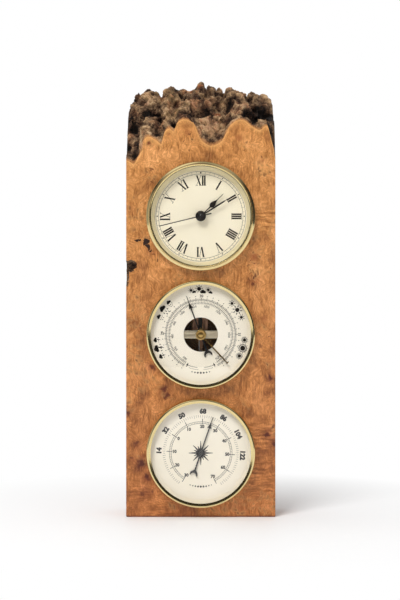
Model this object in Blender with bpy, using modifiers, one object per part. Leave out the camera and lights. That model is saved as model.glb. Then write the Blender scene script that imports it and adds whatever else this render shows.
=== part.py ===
# Weather station clock: a burr wood block that carries a quartz clock, an aneroid
# barometer with an open movement, and a bimetal thermometer, one above the other.
# Metres, +Z up. The origin is the centre of the block's bottom face and the dials
# look towards -Y.
#
# Each instrument is modelled in its own axes, carried by an empty at the centre of
# its pocket's mouth: x to the right, y up, z towards the viewer. A height in those
# axes is measured from the block's front face, so what lies in the wood is below 0.

import math

import bmesh
import bpy
from mathutils import Vector, noise

# General clearances
FIT = 0.0003            # between pieces that touch or fit in each other
RUNNING = 0.0001        # between a shaft and its hole
OVERRUN = 0.002         # how far a cutter passes the face that it cuts
SINK = 0.0002           # how far joined shapes reach into each other
WELD = 0.00001          # points closer than this become one

# Shells shared by the three instruments, from the case outwards
CASE_RADIUS = 0.0388
CASE_WALL = 0.0006
CASE_FLOOR = 0.0008
CASE_SIDES = 32
FLANGE_REACH = 0.0008
FLANGE_TOP = 0.0010
FLANGE_THICKNESS = 0.0005
GRIP_THICKNESS = 0.0008
GRIP_TOP = -0.0030
GRIP_WIDTH = 0.0080
GRIP_SIDES = 28
DISC_RADIUS = CASE_RADIUS + FLANGE_REACH    # glass, dial and flange
BEZEL_WALL = 0.0026
BEZEL_HEIGHT = 0.0070
BEZEL_BORE = DISC_RADIUS + FIT
BEZEL_RADIUS = BEZEL_BORE + BEZEL_WALL
LIP_REACH = 0.0010
LIP_THICKNESS = 0.0004
BEZEL_LIP = BEZEL_BORE - LIP_REACH
BEZEL_SIDES = 44
GLASS_THICKNESS = 0.0013
GLASS_TOP = BEZEL_HEIGHT - LIP_THICKNESS - FIT
GLASS_BOTTOM = GLASS_TOP - GLASS_THICKNESS
DIAL_THICKNESS = 0.0005
DIAL_SIDES = 36
DIAL_SEAT = FLANGE_TOP + FIT + DIAL_THICKNESS    # front of a dial that lies on its case's flange

# Small screws that hold the bridge
SCREW_SHANK = 0.0008
SCREW_HEAD = 0.0015
SCREW_HEAD_HEIGHT = 0.0006
SCREW_SLOT_SHARE = 0.22     # slot's width as a share of the head's radius
SCREW_SIDES = 8
SCREW_GRIP = 0.0025         # how far a bridge screw reaches into its pillar

# Barometer
APERTURE_RADIUS = 0.0133
BRIDGE_THICKNESS = 0.0010
BRIDGE_WIDTH = 0.0062
BRIDGE_LENGTH = 0.0560
PILLAR_RADIUS = 0.0018
PILLAR_INSET = 0.0030    # from the bridge's ends
PILLAR_OFFSET = BRIDGE_LENGTH / 2 - PILLAR_INSET
BASE_RIM = 0.0007
BASE_RADIUS = PILLAR_OFFSET + PILLAR_RADIUS + BASE_RIM
BASE_THICKNESS = 0.0012
CAPSULE_RADIUS = 0.0155
CAPSULE_THICKNESS = 0.0050
CAPSULE_WAVES = 3
WAVE_HEIGHT = 0.0005
CAPSULE_SIDES = 28
SPRING_WIDTH = 0.0100
SPRING_THICKNESS = 0.0007
LEVER_PIVOT_Y = 0.0170
LEVER_THICKNESS = 0.0008
LEVER_ARM_WIDTH = 0.0044
LEVER_LEFT = -0.0042    # middles of the fork's two arms
LEVER_RIGHT = 0.0034
SHAFT_Y = -0.0150
SHAFT_LEVEL = -0.0088
SHAFT_RADIUS = 0.0008
SHAFT_LENGTH = 0.0170
CRANK_LENGTH = 0.0025
ARM_LENGTH = 0.0053
ARM_WIDTH = 0.0010
EAR_THICKNESS = 0.0010
EAR_WIDTH = 0.0028
PULLEY_RADIUS = 0.0009
POINTER_ARBOR = 0.0006
CHAIN_RADIUS = 0.00025
HAIRSPRING_INNER = 0.0016
HAIRSPRING_OUTER = 0.0052
HAIRSPRING_TURNS = 3.5
HAIRSPRING_WIDTH = 0.0008
HAIRSPRING_THICKNESS = 0.0002
POINTER_HEIGHT = 0.0027
POINTER_THICKNESS = 0.0004
PRESSURE_MARGIN = 0.0069 # between the needle's tip and the bezel's lip
PRESSURE_LENGTH = BEZEL_LIP - PRESSURE_MARGIN
PRESSURE_ANGLE = math.radians(-20.4)
SET_HAND_HEIGHT = 0.0038
SET_HAND_SHORTER = 0.0014
SET_HAND_LENGTH = PRESSURE_LENGTH - SET_HAND_SHORTER
SET_HAND_ANGLE = math.radians(136.9)
SET_SHAFT_RADIUS = 0.0014
SET_KNOB_RADIUS = 0.00415
SET_KNOB_HEIGHT = 0.0040
ADJUSTER_INSET = 0.0040  # from the base plate's edge
ADJUSTER_Y = ADJUSTER_INSET - BASE_RADIUS
ADJUSTER_SHANK = 0.0015
ADJUSTER_HEAD = 0.0026

# Levels of the barometer's movement, stacked from the rocking shaft down to the case's floor
CRANK_GAP = 0.0005
LEVER_GAP = 0.0011      # room for the lever to swing towards the main spring
STUD_HEIGHT = 2 * FIT
HAIRSPRING_DROP = 0.0017
CHAIN_LEVEL = SHAFT_LEVEL + ARM_LENGTH
HAIRSPRING_LEVEL = CHAIN_LEVEL - HAIRSPRING_DROP
LEVER_LEVEL = SHAFT_LEVEL - SHAFT_RADIUS / 2 - CRANK_GAP - LEVER_THICKNESS / 2
SPRING_TOP = LEVER_LEVEL - LEVER_THICKNESS / 2 - LEVER_GAP
CAPSULE_LEVEL = SPRING_TOP - SPRING_THICKNESS - FIT - CAPSULE_THICKNESS / 2
BASE_TOP = CAPSULE_LEVEL - CAPSULE_THICKNESS / 2 - STUD_HEIGHT
BASE_BOTTOM = BASE_TOP - BASE_THICKNESS
CASE_DEPTH = CASE_FLOOR + FIT - BASE_BOTTOM    # the thermometer's case is as deep

# Pockets, one above the other
POCKET_CLEARANCE = 0.0040   # behind the deepest case
POCKET_RADIUS = CASE_RADIUS + FIT + GRIP_THICKNESS + FIT
POCKET_DEPTH = CASE_DEPTH + POCKET_CLEARANCE
POCKET_SIDES = 44
BASE_MARGIN = 0.0077        # below the lowest bezel
BEZEL_SPACING = 0.0072      # between two bezels
LOWEST_CENTRE = BEZEL_RADIUS + BASE_MARGIN
CENTRE_PITCH = 2 * BEZEL_RADIUS + BEZEL_SPACING

# Block
SIDE_MARGIN = 0.01575       # beside the bezels
BACK_WALL = 0.0205          # behind the pockets
BLOCK_WIDTH = 2 * (BEZEL_RADIUS + SIDE_MARGIN)
BLOCK_DEPTH = POCKET_DEPTH + BACK_WALL
BLOCK_EDGE = 0.0008
BORDER_DROP = 0.0024        # the border's lowest point is beside the top bezel, below its top
BORDER_LOW = LOWEST_CENTRE + 2 * CENTRE_PITCH + BEZEL_RADIUS - BORDER_DROP
BORDER_RISE = 0.0351        # from there to the tops of its lobes
CREST_LIFT = 0.0470         # from there to the lowest point of the rear silhouette
CREST_LOW = BORDER_LOW + CREST_LIFT
CREST_RISE = 0.0250
LUMP_SIZE = 0.016
LUMP_LAYER = 5.3        # which slice of the noise the ridges stray by
LUMP_HEIGHT = 0.012
PIP_SIZE = 0.0085
PIP_HEIGHT = 0.0050
BLOCK_COLUMNS = 48
BLOCK_ROWS = 12
SLOPE_SHARE = 0.78      # exponent of the rise from the border to the crest
WANDER_SHARE = 0.22     # how far ridges stray across on their way back

# Upper border of the front face: across -1 to 1, height as a share of BORDER_RISE
BORDER_SHARES = (
    (-1.00, 0.11), (-0.89, 0.00), (-0.84, 0.17), (-0.77, 0.35), (-0.75, 0.57), (-0.71, 0.64),
    (-0.61, 0.57), (-0.53, 0.44), (-0.46, 0.78), (-0.42, 0.81), (-0.36, 0.74), (-0.32, 0.91),
    (-0.26, 1.00), (-0.17, 1.00), (-0.09, 0.91), (-0.04, 0.68), (0.00, 0.55), (0.08, 0.45),
    (0.17, 0.45), (0.30, 0.54), (0.36, 0.77), (0.43, 0.93), (0.53, 1.00), (0.61, 0.96),
    (0.68, 0.86), (0.79, 0.76), (0.89, 0.87), (0.96, 0.45), (1.00, 0.09),
)
# Rear silhouette: across -1 to 1, height as a share of CREST_RISE
CREST_SHARES = (
    (-1.00, 0.00), (-0.95, 0.23), (-0.87, 0.67), (-0.82, 0.52), (-0.72, 0.79), (-0.64, 0.72),
    (-0.53, 0.52), (-0.48, 0.81), (-0.40, 0.90), (-0.33, 0.77), (-0.15, 0.72), (-0.07, 0.82),
    (0.02, 1.00), (0.07, 0.75), (0.11, 0.91), (0.18, 0.86), (0.21, 0.73), (0.26, 0.81),
    (0.29, 0.66), (0.36, 0.61), (0.43, 0.81), (0.50, 0.70), (0.56, 0.68), (0.62, 0.51),
    (0.72, 0.71), (0.83, 0.58), (0.93, 0.54), (1.00, 0.30),
)
# Bark void in the left edge
VOID_HEIGHT = 0.1955
VOID_WIDTH = 0.011
VOID_TALL = 0.0052
VOID_DEEP = 0.008

# Clock
CLOCK_DIAL_TOP = -0.0008
INNER_RING_WIDTH = 0.0030
INNER_RING_RADIUS = BEZEL_LIP - INNER_RING_WIDTH
HAND_MARGIN = 0.0025     # between the longest hands and the inner ring
HAND_THICKNESS = 0.0004
HOUR_HAND_HEIGHT = 0.0006
MINUTE_HAND_HEIGHT = 0.0019
SECOND_HAND_HEIGHT = 0.0032
HOUR_HAND_LENGTH = 0.0246
MINUTE_HAND_LENGTH = INNER_RING_RADIUS - HAND_MARGIN
SECOND_HAND_LENGTH = INNER_RING_RADIUS - HAND_MARGIN
SECOND_HAND_TAIL = 0.0085
HUB_RADIUS = 0.0041
NUT_THICKNESS = 0.0008
NUT_WALL = 0.0010        # round the movement's collar, at the corners
HOUR_ANGLE = math.radians(45.4)
MINUTE_ANGLE = math.radians(57.7)
SECOND_ANGLE = math.radians(256.3)

# Clock movement
MOVEMENT_SIZE = 0.044
MOVEMENT_CORNER = 0.003
MOVEMENT_DEPTH = 0.0140
MOVEMENT_WALL = 0.0012
MOVEMENT_PROUD = 0.0014  # how far it stands out of the back of its case
CLOCK_CASE_DEPTH = DIAL_THICKNESS + FIT - CLOCK_DIAL_TOP + MOVEMENT_DEPTH - MOVEMENT_PROUD
SECONDS_ARBOR = 0.0005
ARBOR_SIDES = 8
PIPE_SIDES = 12
CANNON_WALL = 0.0005
HOUR_PIPE_WALL = 0.0006
COLLAR_WALL = 0.0009
TRAIN_ARBOR = 0.0004
BATTERY_RADIUS = 0.0060
BATTERY_LENGTH = 0.0302
BATTERY_HEIGHT = -0.0089
BATTERY_BELOW = 0.0145
CONTACT_THICKNESS = 0.0004
COIL_RADIUS = 0.0028
STATOR_THICKNESS = 0.0010
STATOR_HEIGHT = -0.0098
ROTOR_RADIUS = 0.0022
ROTOR_LENGTH = 0.0030
KNOB_RADIUS = 0.0050
KNOB_HEIGHT = 0.0034

# Wheels: teeth, module. A pair that meshes shares its module.
WHEEL_THICKNESS = 0.0006
PLATE_THICKNESS = 0.0008
PINION_THICKNESS = 0.0011
ADDENDUM_SHARE = 0.80
DEDENDUM_SHARE = 1.20
CENTRE_TEETH = 45
THIRD_PINION_TEETH = 6
CENTRE_MODULE = 0.00038
THIRD_TEETH = 48
SECONDS_PINION_TEETH = 6
SECONDS_TEETH = 30
INTERMEDIATE_PINION_TEETH = 6
SECONDS_MODULE = 0.00050
INTERMEDIATE_TEETH = 36
ROTOR_PINION_TEETH = 6
ROTOR_MODULE = 0.00040
CANNON_TEETH = 10
MOTION_TEETH = 30
MOTION_PINION_TEETH = 8
HOUR_TEETH = 32
SETTING_PINION_TEETH = 10
MOTION_MODULE = 0.00040
THIRD_DIRECTION = math.radians(150)
INTERMEDIATE_DIRECTION = math.radians(30)
ROTOR_DIRECTION = math.radians(-30)
MOTION_DIRECTION = math.radians(90)

# Levels of the wheels, measured at their middles
HOUR_LEVEL = -0.0036
MOTION_LEVEL = -0.0049
CENTRE_LEVEL = -0.0061
PLATE_LEVEL = -0.0074
THIRD_LEVEL = -0.0092
SECONDS_LEVEL = -0.0109
INTERMEDIATE_LEVEL = -0.0127

# Thermometer
TEMPERATURE_MARGIN = 0.0093
TEMPERATURE_LENGTH = BEZEL_LIP - TEMPERATURE_MARGIN
TEMPERATURE_ANGLE = math.radians(18.8)
COIL_INNER = 0.0024
COIL_OUTER = 0.0138
COIL_TURNS = 4.0
COIL_WIDTH = 0.0050
COIL_THICKNESS = 0.0005
COIL_LEVEL = -0.0070
BRACKET_HALF = 0.0165
BRACKET_WIDTH = 0.0080
BRACKET_THICKNESS = 0.0010


# Scene, collections and finishes

for old in list(bpy.data.objects):
    bpy.data.objects.remove(old, do_unlink=True)

station = bpy.data.collections.new("weather_station_clock")
cutters = bpy.data.collections.new("cutters")
bpy.context.scene.collection.children.link(station)
bpy.context.scene.collection.children.link(cutters)


def finish(name, color, roughness, metallic=0.0, alpha=1.0):
    material = bpy.data.materials.new(name)
    material.use_nodes = True
    shader = material.node_tree.nodes["Principled BSDF"]
    shader.inputs["Base Color"].default_value = (*color, 1.0)
    shader.inputs["Roughness"].default_value = roughness
    shader.inputs["Metallic"].default_value = metallic
    shader.inputs["Alpha"].default_value = alpha
    material.diffuse_color = (*color, alpha)
    return material


BURR_WOOD = finish("oiled_burr_wood", (0.53, 0.25, 0.09), 0.45)
GILT = finish("gilt_brass", (0.83, 0.66, 0.32), 0.22, 1.0)
PALE_GILT = finish("pale_gilt", (0.80, 0.72, 0.50), 0.35, 1.0)
BRASS = finish("brass", (0.72, 0.52, 0.22), 0.30, 1.0)
COPPER = finish("brown_copper", (0.32, 0.18, 0.11), 0.45, 1.0)
NICKEL = finish("nickel_sheet", (0.66, 0.63, 0.56), 0.35, 1.0)
STEEL = finish("steel", (0.55, 0.55, 0.55), 0.35, 1.0)
BLACK_METAL = finish("blackened_steel", (0.02, 0.018, 0.016), 0.40)
ENAMEL = finish("cream_enamel", (0.86, 0.80, 0.64), 0.50)
CLEAR = finish("clear_glass", (0.95, 0.97, 0.96), 0.05, 0.0, 0.25)
CASE_METAL = finish("tinned_steel", (0.50, 0.49, 0.46), 0.40, 1.0)
BLACK_PLASTIC = finish("black_plastic", (0.03, 0.03, 0.03), 0.50)
PALE_PLASTIC = finish("natural_acetal", (0.80, 0.78, 0.72), 0.50)
RUBBER = finish("black_rubber", (0.02, 0.02, 0.02), 0.80)
WINDING = finish("copper_winding", (0.60, 0.25, 0.10), 0.35, 1.0)
BOARD = finish("green_board", (0.03, 0.16, 0.07), 0.45)
CELL = finish("cell_jacket", (0.10, 0.10, 0.12), 0.35, 0.6)


# Shape helpers

def place(shape, collection, parent, at, turn):
    collection.objects.link(shape)
    shape.parent = parent
    shape.location = at
    shape.rotation_euler = turn
    if collection is cutters:
        shape.hide_render = True
        shape.display_type = "WIRE"
    return shape


def solid(name, mesh, material, parent, at=(0, 0, 0), turn=(0, 0, 0), collection=station):
    shape = bpy.data.objects.new(name, mesh)
    mesh.materials.append(material)
    return place(shape, collection, parent, at, turn)


def smooth_round(mesh, angle=math.radians(35)):
    mesh.shade_smooth()
    mesh.set_sharp_from_angle(angle=angle)


# A turned piece: the profile is (radius, height) from the top down its outer side.
# A profile that leaves the axis closes on itself into a ring.
def turned(name, profile, sides, material, parent, at=(0, 0, 0), turn=(0, 0, 0), collection=station):
    mesh = bpy.data.meshes.new(name)
    shape = bmesh.new()
    points = [shape.verts.new((radius, 0, height)) for radius, height in profile]
    for first, second in zip(points, points[1:]):
        shape.edges.new((first, second))
    if profile[0][0] > 0:
        shape.edges.new((points[-1], points[0]))
    shape.to_mesh(mesh)
    shape.free()
    piece = solid(name, mesh, material, parent, at, turn, collection)
    screw = piece.modifiers.new("turn", "SCREW")
    screw.axis = "Z"
    screw.angle = 2 * math.pi
    screw.steps = sides
    screw.render_steps = sides
    screw.use_merge_vertices = True
    screw.merge_threshold = WELD
    screw.use_smooth_shade = False
    return piece


def cylinder(name, radius, top, bottom, sides, material, parent, at=(0, 0, 0), turn=(0, 0, 0),
             collection=station):
    mesh = bpy.data.meshes.new(name)
    shape = bmesh.new()
    bmesh.ops.create_cone(shape, cap_ends=True, segments=sides, radius1=radius, radius2=radius,
                          depth=top - bottom)
    bmesh.ops.translate(shape, verts=shape.verts, vec=(0, 0, (top + bottom) / 2))
    shape.to_mesh(mesh)
    shape.free()
    smooth_round(mesh)
    return solid(name, mesh, material, parent, at, turn, collection)


def box(name, low, high, material, parent, collection=station, corner=0.0):
    size = [b - a for a, b in zip(low, high)]
    middle = [(a + b) / 2 for a, b in zip(low, high)]
    mesh = bpy.data.meshes.new(name)
    shape = bmesh.new()
    bmesh.ops.create_cube(shape, size=1)
    bmesh.ops.scale(shape, verts=shape.verts, vec=size)
    bmesh.ops.translate(shape, verts=shape.verts, vec=middle)
    if corner > 0:
        upright = [e for e in shape.edges
                   if abs((e.verts[0].co - e.verts[1].co).z) > abs((e.verts[0].co - e.verts[1].co).xy.length)]
        bmesh.ops.bevel(shape, geom=upright, offset=corner, segments=3, profile=0.5, affect="EDGES")
    shape.to_mesh(mesh)
    shape.free()
    return solid(name, mesh, material, parent, collection=collection)


# A flat piece cut from sheet: outlines are closed lists of (x, y), holes included.
def sheet(name, outlines, thickness, material, parent, at=(0, 0, 0), turn=(0, 0, 0), collection=station):
    curve = bpy.data.curves.new(name, "CURVE")
    curve.dimensions = "2D"
    curve.fill_mode = "BOTH"
    curve.extrude = thickness / 2
    for outline in outlines:
        spline = curve.splines.new("POLY")
        spline.points.add(len(outline) - 1)
        for point, (x, y) in zip(spline.points, outline):
            point.co = (x, y, 0, 1)
        spline.use_cyclic_u = True
    drawn = bpy.data.objects.new(name + "_drawn", curve)
    bpy.context.scene.collection.objects.link(drawn)
    depsgraph = bpy.context.evaluated_depsgraph_get()
    mesh = bpy.data.meshes.new_from_object(drawn.evaluated_get(depsgraph))
    bpy.data.objects.remove(drawn, do_unlink=True)
    bpy.data.curves.remove(curve)
    mesh.name = name
    shape = bmesh.new()
    shape.from_mesh(mesh)
    bmesh.ops.remove_doubles(shape, verts=shape.verts, dist=WELD)
    shape.to_mesh(mesh)
    shape.free()
    mesh.materials.clear()
    return solid(name, mesh, material, parent, at, turn, collection)


def combine(piece, tool, operation):
    for old in list(tool.users_collection):
        old.objects.unlink(tool)
    cutters.objects.link(tool)
    tool.hide_render = True
    tool.display_type = "WIRE"
    change = piece.modifiers.new(operation.lower(), "BOOLEAN")
    change.operation = operation
    change.solver = "EXACT"
    change.object = tool
    return piece


def cut(piece, tool):
    return combine(piece, tool, "DIFFERENCE")


def join(piece, tool):
    return combine(piece, tool, "UNION")


def circle_points(radius, sides, middle=(0, 0)):
    turn = 2 * math.pi / sides
    return [(middle[0] + radius * math.cos(i * turn), middle[1] + radius * math.sin(i * turn))
            for i in range(sides)]


def interpolate(table, across):
    for (x0, y0), (x1, y1) in zip(table, table[1:]):
        if across <= x1:
            return y0 + (y1 - y0) * max(across - x0, 0) / (x1 - x0)
    return table[-1][1]


def polar(length, direction):
    return Vector((length * math.cos(direction), length * math.sin(direction), 0))


# Wheels with pointed teeth, and pinions whose leaves stand on flat roots

def toothed_outline(teeth, module, phase, flat_roots=False):
    tip = module * (teeth / 2 + ADDENDUM_SHARE)
    root = module * (teeth / 2 - DEDENDUM_SHARE)
    pitch = 2 * math.pi / teeth
    root_half_share = 0.16
    points = []
    for tooth in range(teeth):
        angle = phase + tooth * pitch
        points.append((tip * math.cos(angle), tip * math.sin(angle)))
        spread = (0.5 - root_half_share, 0.5 + root_half_share) if flat_roots else (0.5,)
        for share in spread:
            valley = angle + share * pitch
            points.append((root * math.cos(valley), root * math.sin(valley)))
    return points


# The phase that puts the second wheel in mesh with the first one's teeth
def meshing_phase(first_teeth, first_phase, direction, second_teeth):
    along = (direction - first_phase) * first_teeth / (2 * math.pi)
    return direction + math.pi - (0.5 - along) * 2 * math.pi / second_teeth


def mesh_distance(first_teeth, second_teeth, module):
    return module * (first_teeth + second_teeth) / 2


def wheel(name, teeth, module, phase, level, thickness, material, parent, bore=0.0, at=(0, 0, 0),
          flat_roots=False):
    outlines = [toothed_outline(teeth, module, phase, flat_roots)]
    if bore > 0:
        outlines.append(circle_points(bore, 12))
    return sheet(name, outlines, thickness, material, parent, (at[0], at[1], level))


# Block

def natural_height(across, back):
    x = across * BLOCK_WIDTH / 2
    y = back * BLOCK_DEPTH
    between = math.sin(math.pi * back)
    stray = WANDER_SHARE * between * noise.noise(Vector((x / LUMP_SIZE, y / LUMP_SIZE, LUMP_LAYER)))
    border = BORDER_LOW + BORDER_RISE * interpolate(BORDER_SHARES, across + stray)
    crest = CREST_LOW + CREST_RISE * interpolate(CREST_SHARES, across - stray)
    swell = noise.noise(Vector((x / LUMP_SIZE, y / LUMP_SIZE, 0)))
    distances = noise.voronoi(Vector((x / PIP_SIZE, y / PIP_SIZE, 0)))[0]
    pips = max(0.0, 1 - distances[0] * 1.6)
    return (border + (crest - border) * back ** SLOPE_SHARE
            + between * (LUMP_HEIGHT * swell + PIP_HEIGHT * (pips - 0.5)))


def burr_block():
    mesh = bpy.data.meshes.new("burr_block")
    shape = bmesh.new()
    bmesh.ops.create_grid(shape, x_segments=BLOCK_COLUMNS, y_segments=BLOCK_ROWS, size=0.5)
    for corner in shape.verts:
        across = 2 * corner.co.x
        back = corner.co.y + 0.5
        corner.co = (across * BLOCK_WIDTH / 2, (back - 0.5) * BLOCK_DEPTH, natural_height(across, back))
    rim = [edge for edge in shape.edges if edge.is_boundary]
    walls = bmesh.ops.extrude_edge_only(shape, edges=rim)["geom"]
    foot = [item for item in walls if isinstance(item, bmesh.types.BMVert)]
    for corner in foot:
        corner.co.z = 0
    bmesh.ops.contextual_create(shape, geom=[e for e in walls if isinstance(e, bmesh.types.BMEdge)])
    bmesh.ops.recalc_face_normals(shape, faces=shape.faces)
    corners = [edge for edge in shape.edges
               if all(abs(abs(v.co.x) - BLOCK_WIDTH / 2) < FIT and abs(abs(v.co.y) - BLOCK_DEPTH / 2) < FIT
                      for v in edge.verts)]
    bottom = [edge for edge in shape.edges if all(v.co.z < FIT for v in edge.verts)]
    bmesh.ops.bevel(shape, geom=list(set(corners + bottom)), offset=BLOCK_EDGE, segments=1, profile=0.5,
                    affect="EDGES")
    shape.to_mesh(mesh)
    shape.free()
    return solid("burr_block", mesh, BURR_WOOD, None)


def bark_void():
    mesh = bpy.data.meshes.new("bark_void")
    shape = bmesh.new()
    bmesh.ops.create_icosphere(shape, subdivisions=2, radius=1)
    for corner in shape.verts:
        corner.co *= 1 + 0.3 * noise.noise(corner.co * 1.7)
    bmesh.ops.scale(shape, verts=shape.verts, vec=(VOID_WIDTH, VOID_DEEP, VOID_TALL))
    shape.to_mesh(mesh)
    shape.free()
    return solid("bark_void", mesh, BURR_WOOD, None,
                 (-BLOCK_WIDTH / 2, -BLOCK_DEPTH / 2, VOID_HEIGHT), collection=cutters)


def instrument_axes(name, step):
    axes = bpy.data.objects.new(name, None)
    station.objects.link(axes)
    axes.location = (0, -BLOCK_DEPTH / 2, LOWEST_CENTRE + step * CENTRE_PITCH)
    axes.rotation_euler = (math.pi / 2, 0, 0)
    return axes


# Shells

def bezel(name, axes, stepped):
    shoulder = BEZEL_HEIGHT * (0.62 if stepped else 0.80)
    crown = (BEZEL_BORE + BEZEL_RADIUS) / 2
    profile = [(BEZEL_LIP, BEZEL_HEIGHT - LIP_THICKNESS / 2), (BEZEL_BORE, BEZEL_HEIGHT)]
    if stepped:
        profile += [(crown, BEZEL_HEIGHT), (crown + LIP_THICKNESS, shoulder)]
    else:
        profile += [(crown, BEZEL_HEIGHT - LIP_THICKNESS / 2)]
    profile += [(BEZEL_RADIUS, shoulder - LIP_THICKNESS), (BEZEL_RADIUS, FIT), (BEZEL_BORE, FIT),
                (BEZEL_BORE, BEZEL_HEIGHT - LIP_THICKNESS), (BEZEL_LIP, BEZEL_HEIGHT - LIP_THICKNESS)]
    return turned(name, profile, BEZEL_SIDES, GILT, axes)


def disc(name, axes, radius, top, thickness, hole, sides, material):
    if hole > 0:
        profile = [(hole, top), (radius, top), (radius, top - thickness), (hole, top - thickness)]
        return turned(name, profile, sides, material, axes)
    return cylinder(name, radius, top, top - thickness, sides, material, axes)


def case(name, axes, depth, material):
    inner = CASE_RADIUS - CASE_WALL
    profile = [(0, CASE_FLOOR - depth), (inner, CASE_FLOOR - depth), (inner, FLANGE_TOP),
               (DISC_RADIUS, FLANGE_TOP), (DISC_RADIUS, FLANGE_TOP - FLANGE_THICKNESS),
               (CASE_RADIUS, FLANGE_TOP - FLANGE_THICKNESS), (CASE_RADIUS, -depth), (0, -depth)]
    return turned(name, profile, CASE_SIDES, material, axes)


def grip_ring(name, axes):
    inner = CASE_RADIUS + FIT
    outer = inner + GRIP_THICKNESS
    bottom = GRIP_TOP - GRIP_WIDTH
    profile = [(inner, GRIP_TOP), (outer, GRIP_TOP), (outer, bottom), (inner, bottom)]
    return turned(name, profile, GRIP_SIDES, RUBBER, axes)


# A slotted screw from the face it holds, at seat, to the end of its shank, at foot
def slotted_screw(name, axes, x, y, seat, foot):
    top = seat + SCREW_HEAD_HEIGHT
    profile = [(0, top), (SCREW_HEAD, top), (SCREW_HEAD, seat), (SCREW_SHANK, seat), (SCREW_SHANK, foot), (0, foot)]
    piece = turned(name, profile, SCREW_SIDES, STEEL, axes, (x, y, 0))
    slot_width = SCREW_SLOT_SHARE * SCREW_HEAD
    cut(piece, box(f"{name}_slot", (x - SCREW_HEAD - OVERRUN, y - slot_width / 2, top - SCREW_HEAD_HEIGHT / 2),
                   (x + SCREW_HEAD + OVERRUN, y + slot_width / 2, top + OVERRUN), STEEL, axes, cutters))


def screw_hole(piece, name, axes, x, y, top, bottom):
    cut(piece, cylinder(name, SCREW_SHANK + RUNNING, top, bottom, SCREW_SIDES, BRASS, axes, (x, y, 0)))


# Clock hands

def mirrored(half):
    return [(-x, y) for x, y in half] + [(x, y) for x, y in reversed(half)]


def spade_hand(axes, hole):
    hub = HUB_RADIUS * 0.75
    bulge = 0.54 * HOUR_HAND_LENGTH
    wide = 0.105 * HOUR_HAND_LENGTH
    half = [(0, -hub), (hub * 0.7, -hub * 0.7), (hub, 0), (hub * 0.7, hub * 0.7), (wide * 0.28, hub * 1.3),
            (wide * 0.24, bulge - wide), (wide * 0.72, bulge - wide * 0.72), (wide, bulge),
            (wide * 0.7, bulge + wide * 0.9), (wide * 0.2, bulge + wide * 1.9), (wide * 0.1, HOUR_HAND_LENGTH)]
    outline = mirrored(half)[1:-1]
    return sheet("hour_hand", [outline, circle_points(hole, 12)], HAND_THICKNESS, BLACK_METAL, axes,
                 (0, 0, HOUR_HAND_HEIGHT + HAND_THICKNESS / 2), (0, 0, -HOUR_ANGLE))


def pointed_hand(axes, hole):
    hub = HUB_RADIUS * 0.65
    wide = 0.024 * MINUTE_HAND_LENGTH
    half = [(0, -hub), (hub * 0.7, -hub * 0.7), (hub, 0), (hub * 0.7, hub * 0.7), (wide * 0.8, hub * 1.4),
            (wide, 0.45 * MINUTE_HAND_LENGTH), (wide * 0.7, 0.66 * MINUTE_HAND_LENGTH),
            (wide * 0.3, 0.69 * MINUTE_HAND_LENGTH), (wide * 0.2, MINUTE_HAND_LENGTH)]
    outline = mirrored(half)[1:-1]
    return sheet("minute_hand", [outline, circle_points(hole, 12)], HAND_THICKNESS, BLACK_METAL, axes,
                 (0, 0, MINUTE_HAND_HEIGHT + HAND_THICKNESS / 2), (0, 0, -MINUTE_ANGLE))


def seconds_hand(axes):
    near = 0.0085 * SECOND_HAND_LENGTH
    far = 0.0055 * SECOND_HAND_LENGTH
    outline = [(-near, -SECOND_HAND_TAIL), (near, -SECOND_HAND_TAIL), (near, 0), (far, SECOND_HAND_LENGTH),
               (-far, SECOND_HAND_LENGTH), (-near, 0)]
    hand = sheet("second_hand", [outline], HAND_THICKNESS, BLACK_METAL, axes,
                 (0, 0, SECOND_HAND_HEIGHT + HAND_THICKNESS / 2), (0, 0, -SECOND_ANGLE))
    low = -HAND_THICKNESS / 2 - SINK
    high = HAND_THICKNESS + SINK
    cap = turned("second_hand_cap", [(0, high + SINK), (HUB_RADIUS * 0.45, high + SINK),
                                     (HUB_RADIUS * 0.5, high), (HUB_RADIUS * 0.9, high),
                                     (HUB_RADIUS, HAND_THICKNESS / 2), (HUB_RADIUS, low), (0, low)],
                 24, BLACK_METAL, axes, (0, 0, SECOND_HAND_HEIGHT + HAND_THICKNESS / 2))
    return join(hand, cap)


# Clock

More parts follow.
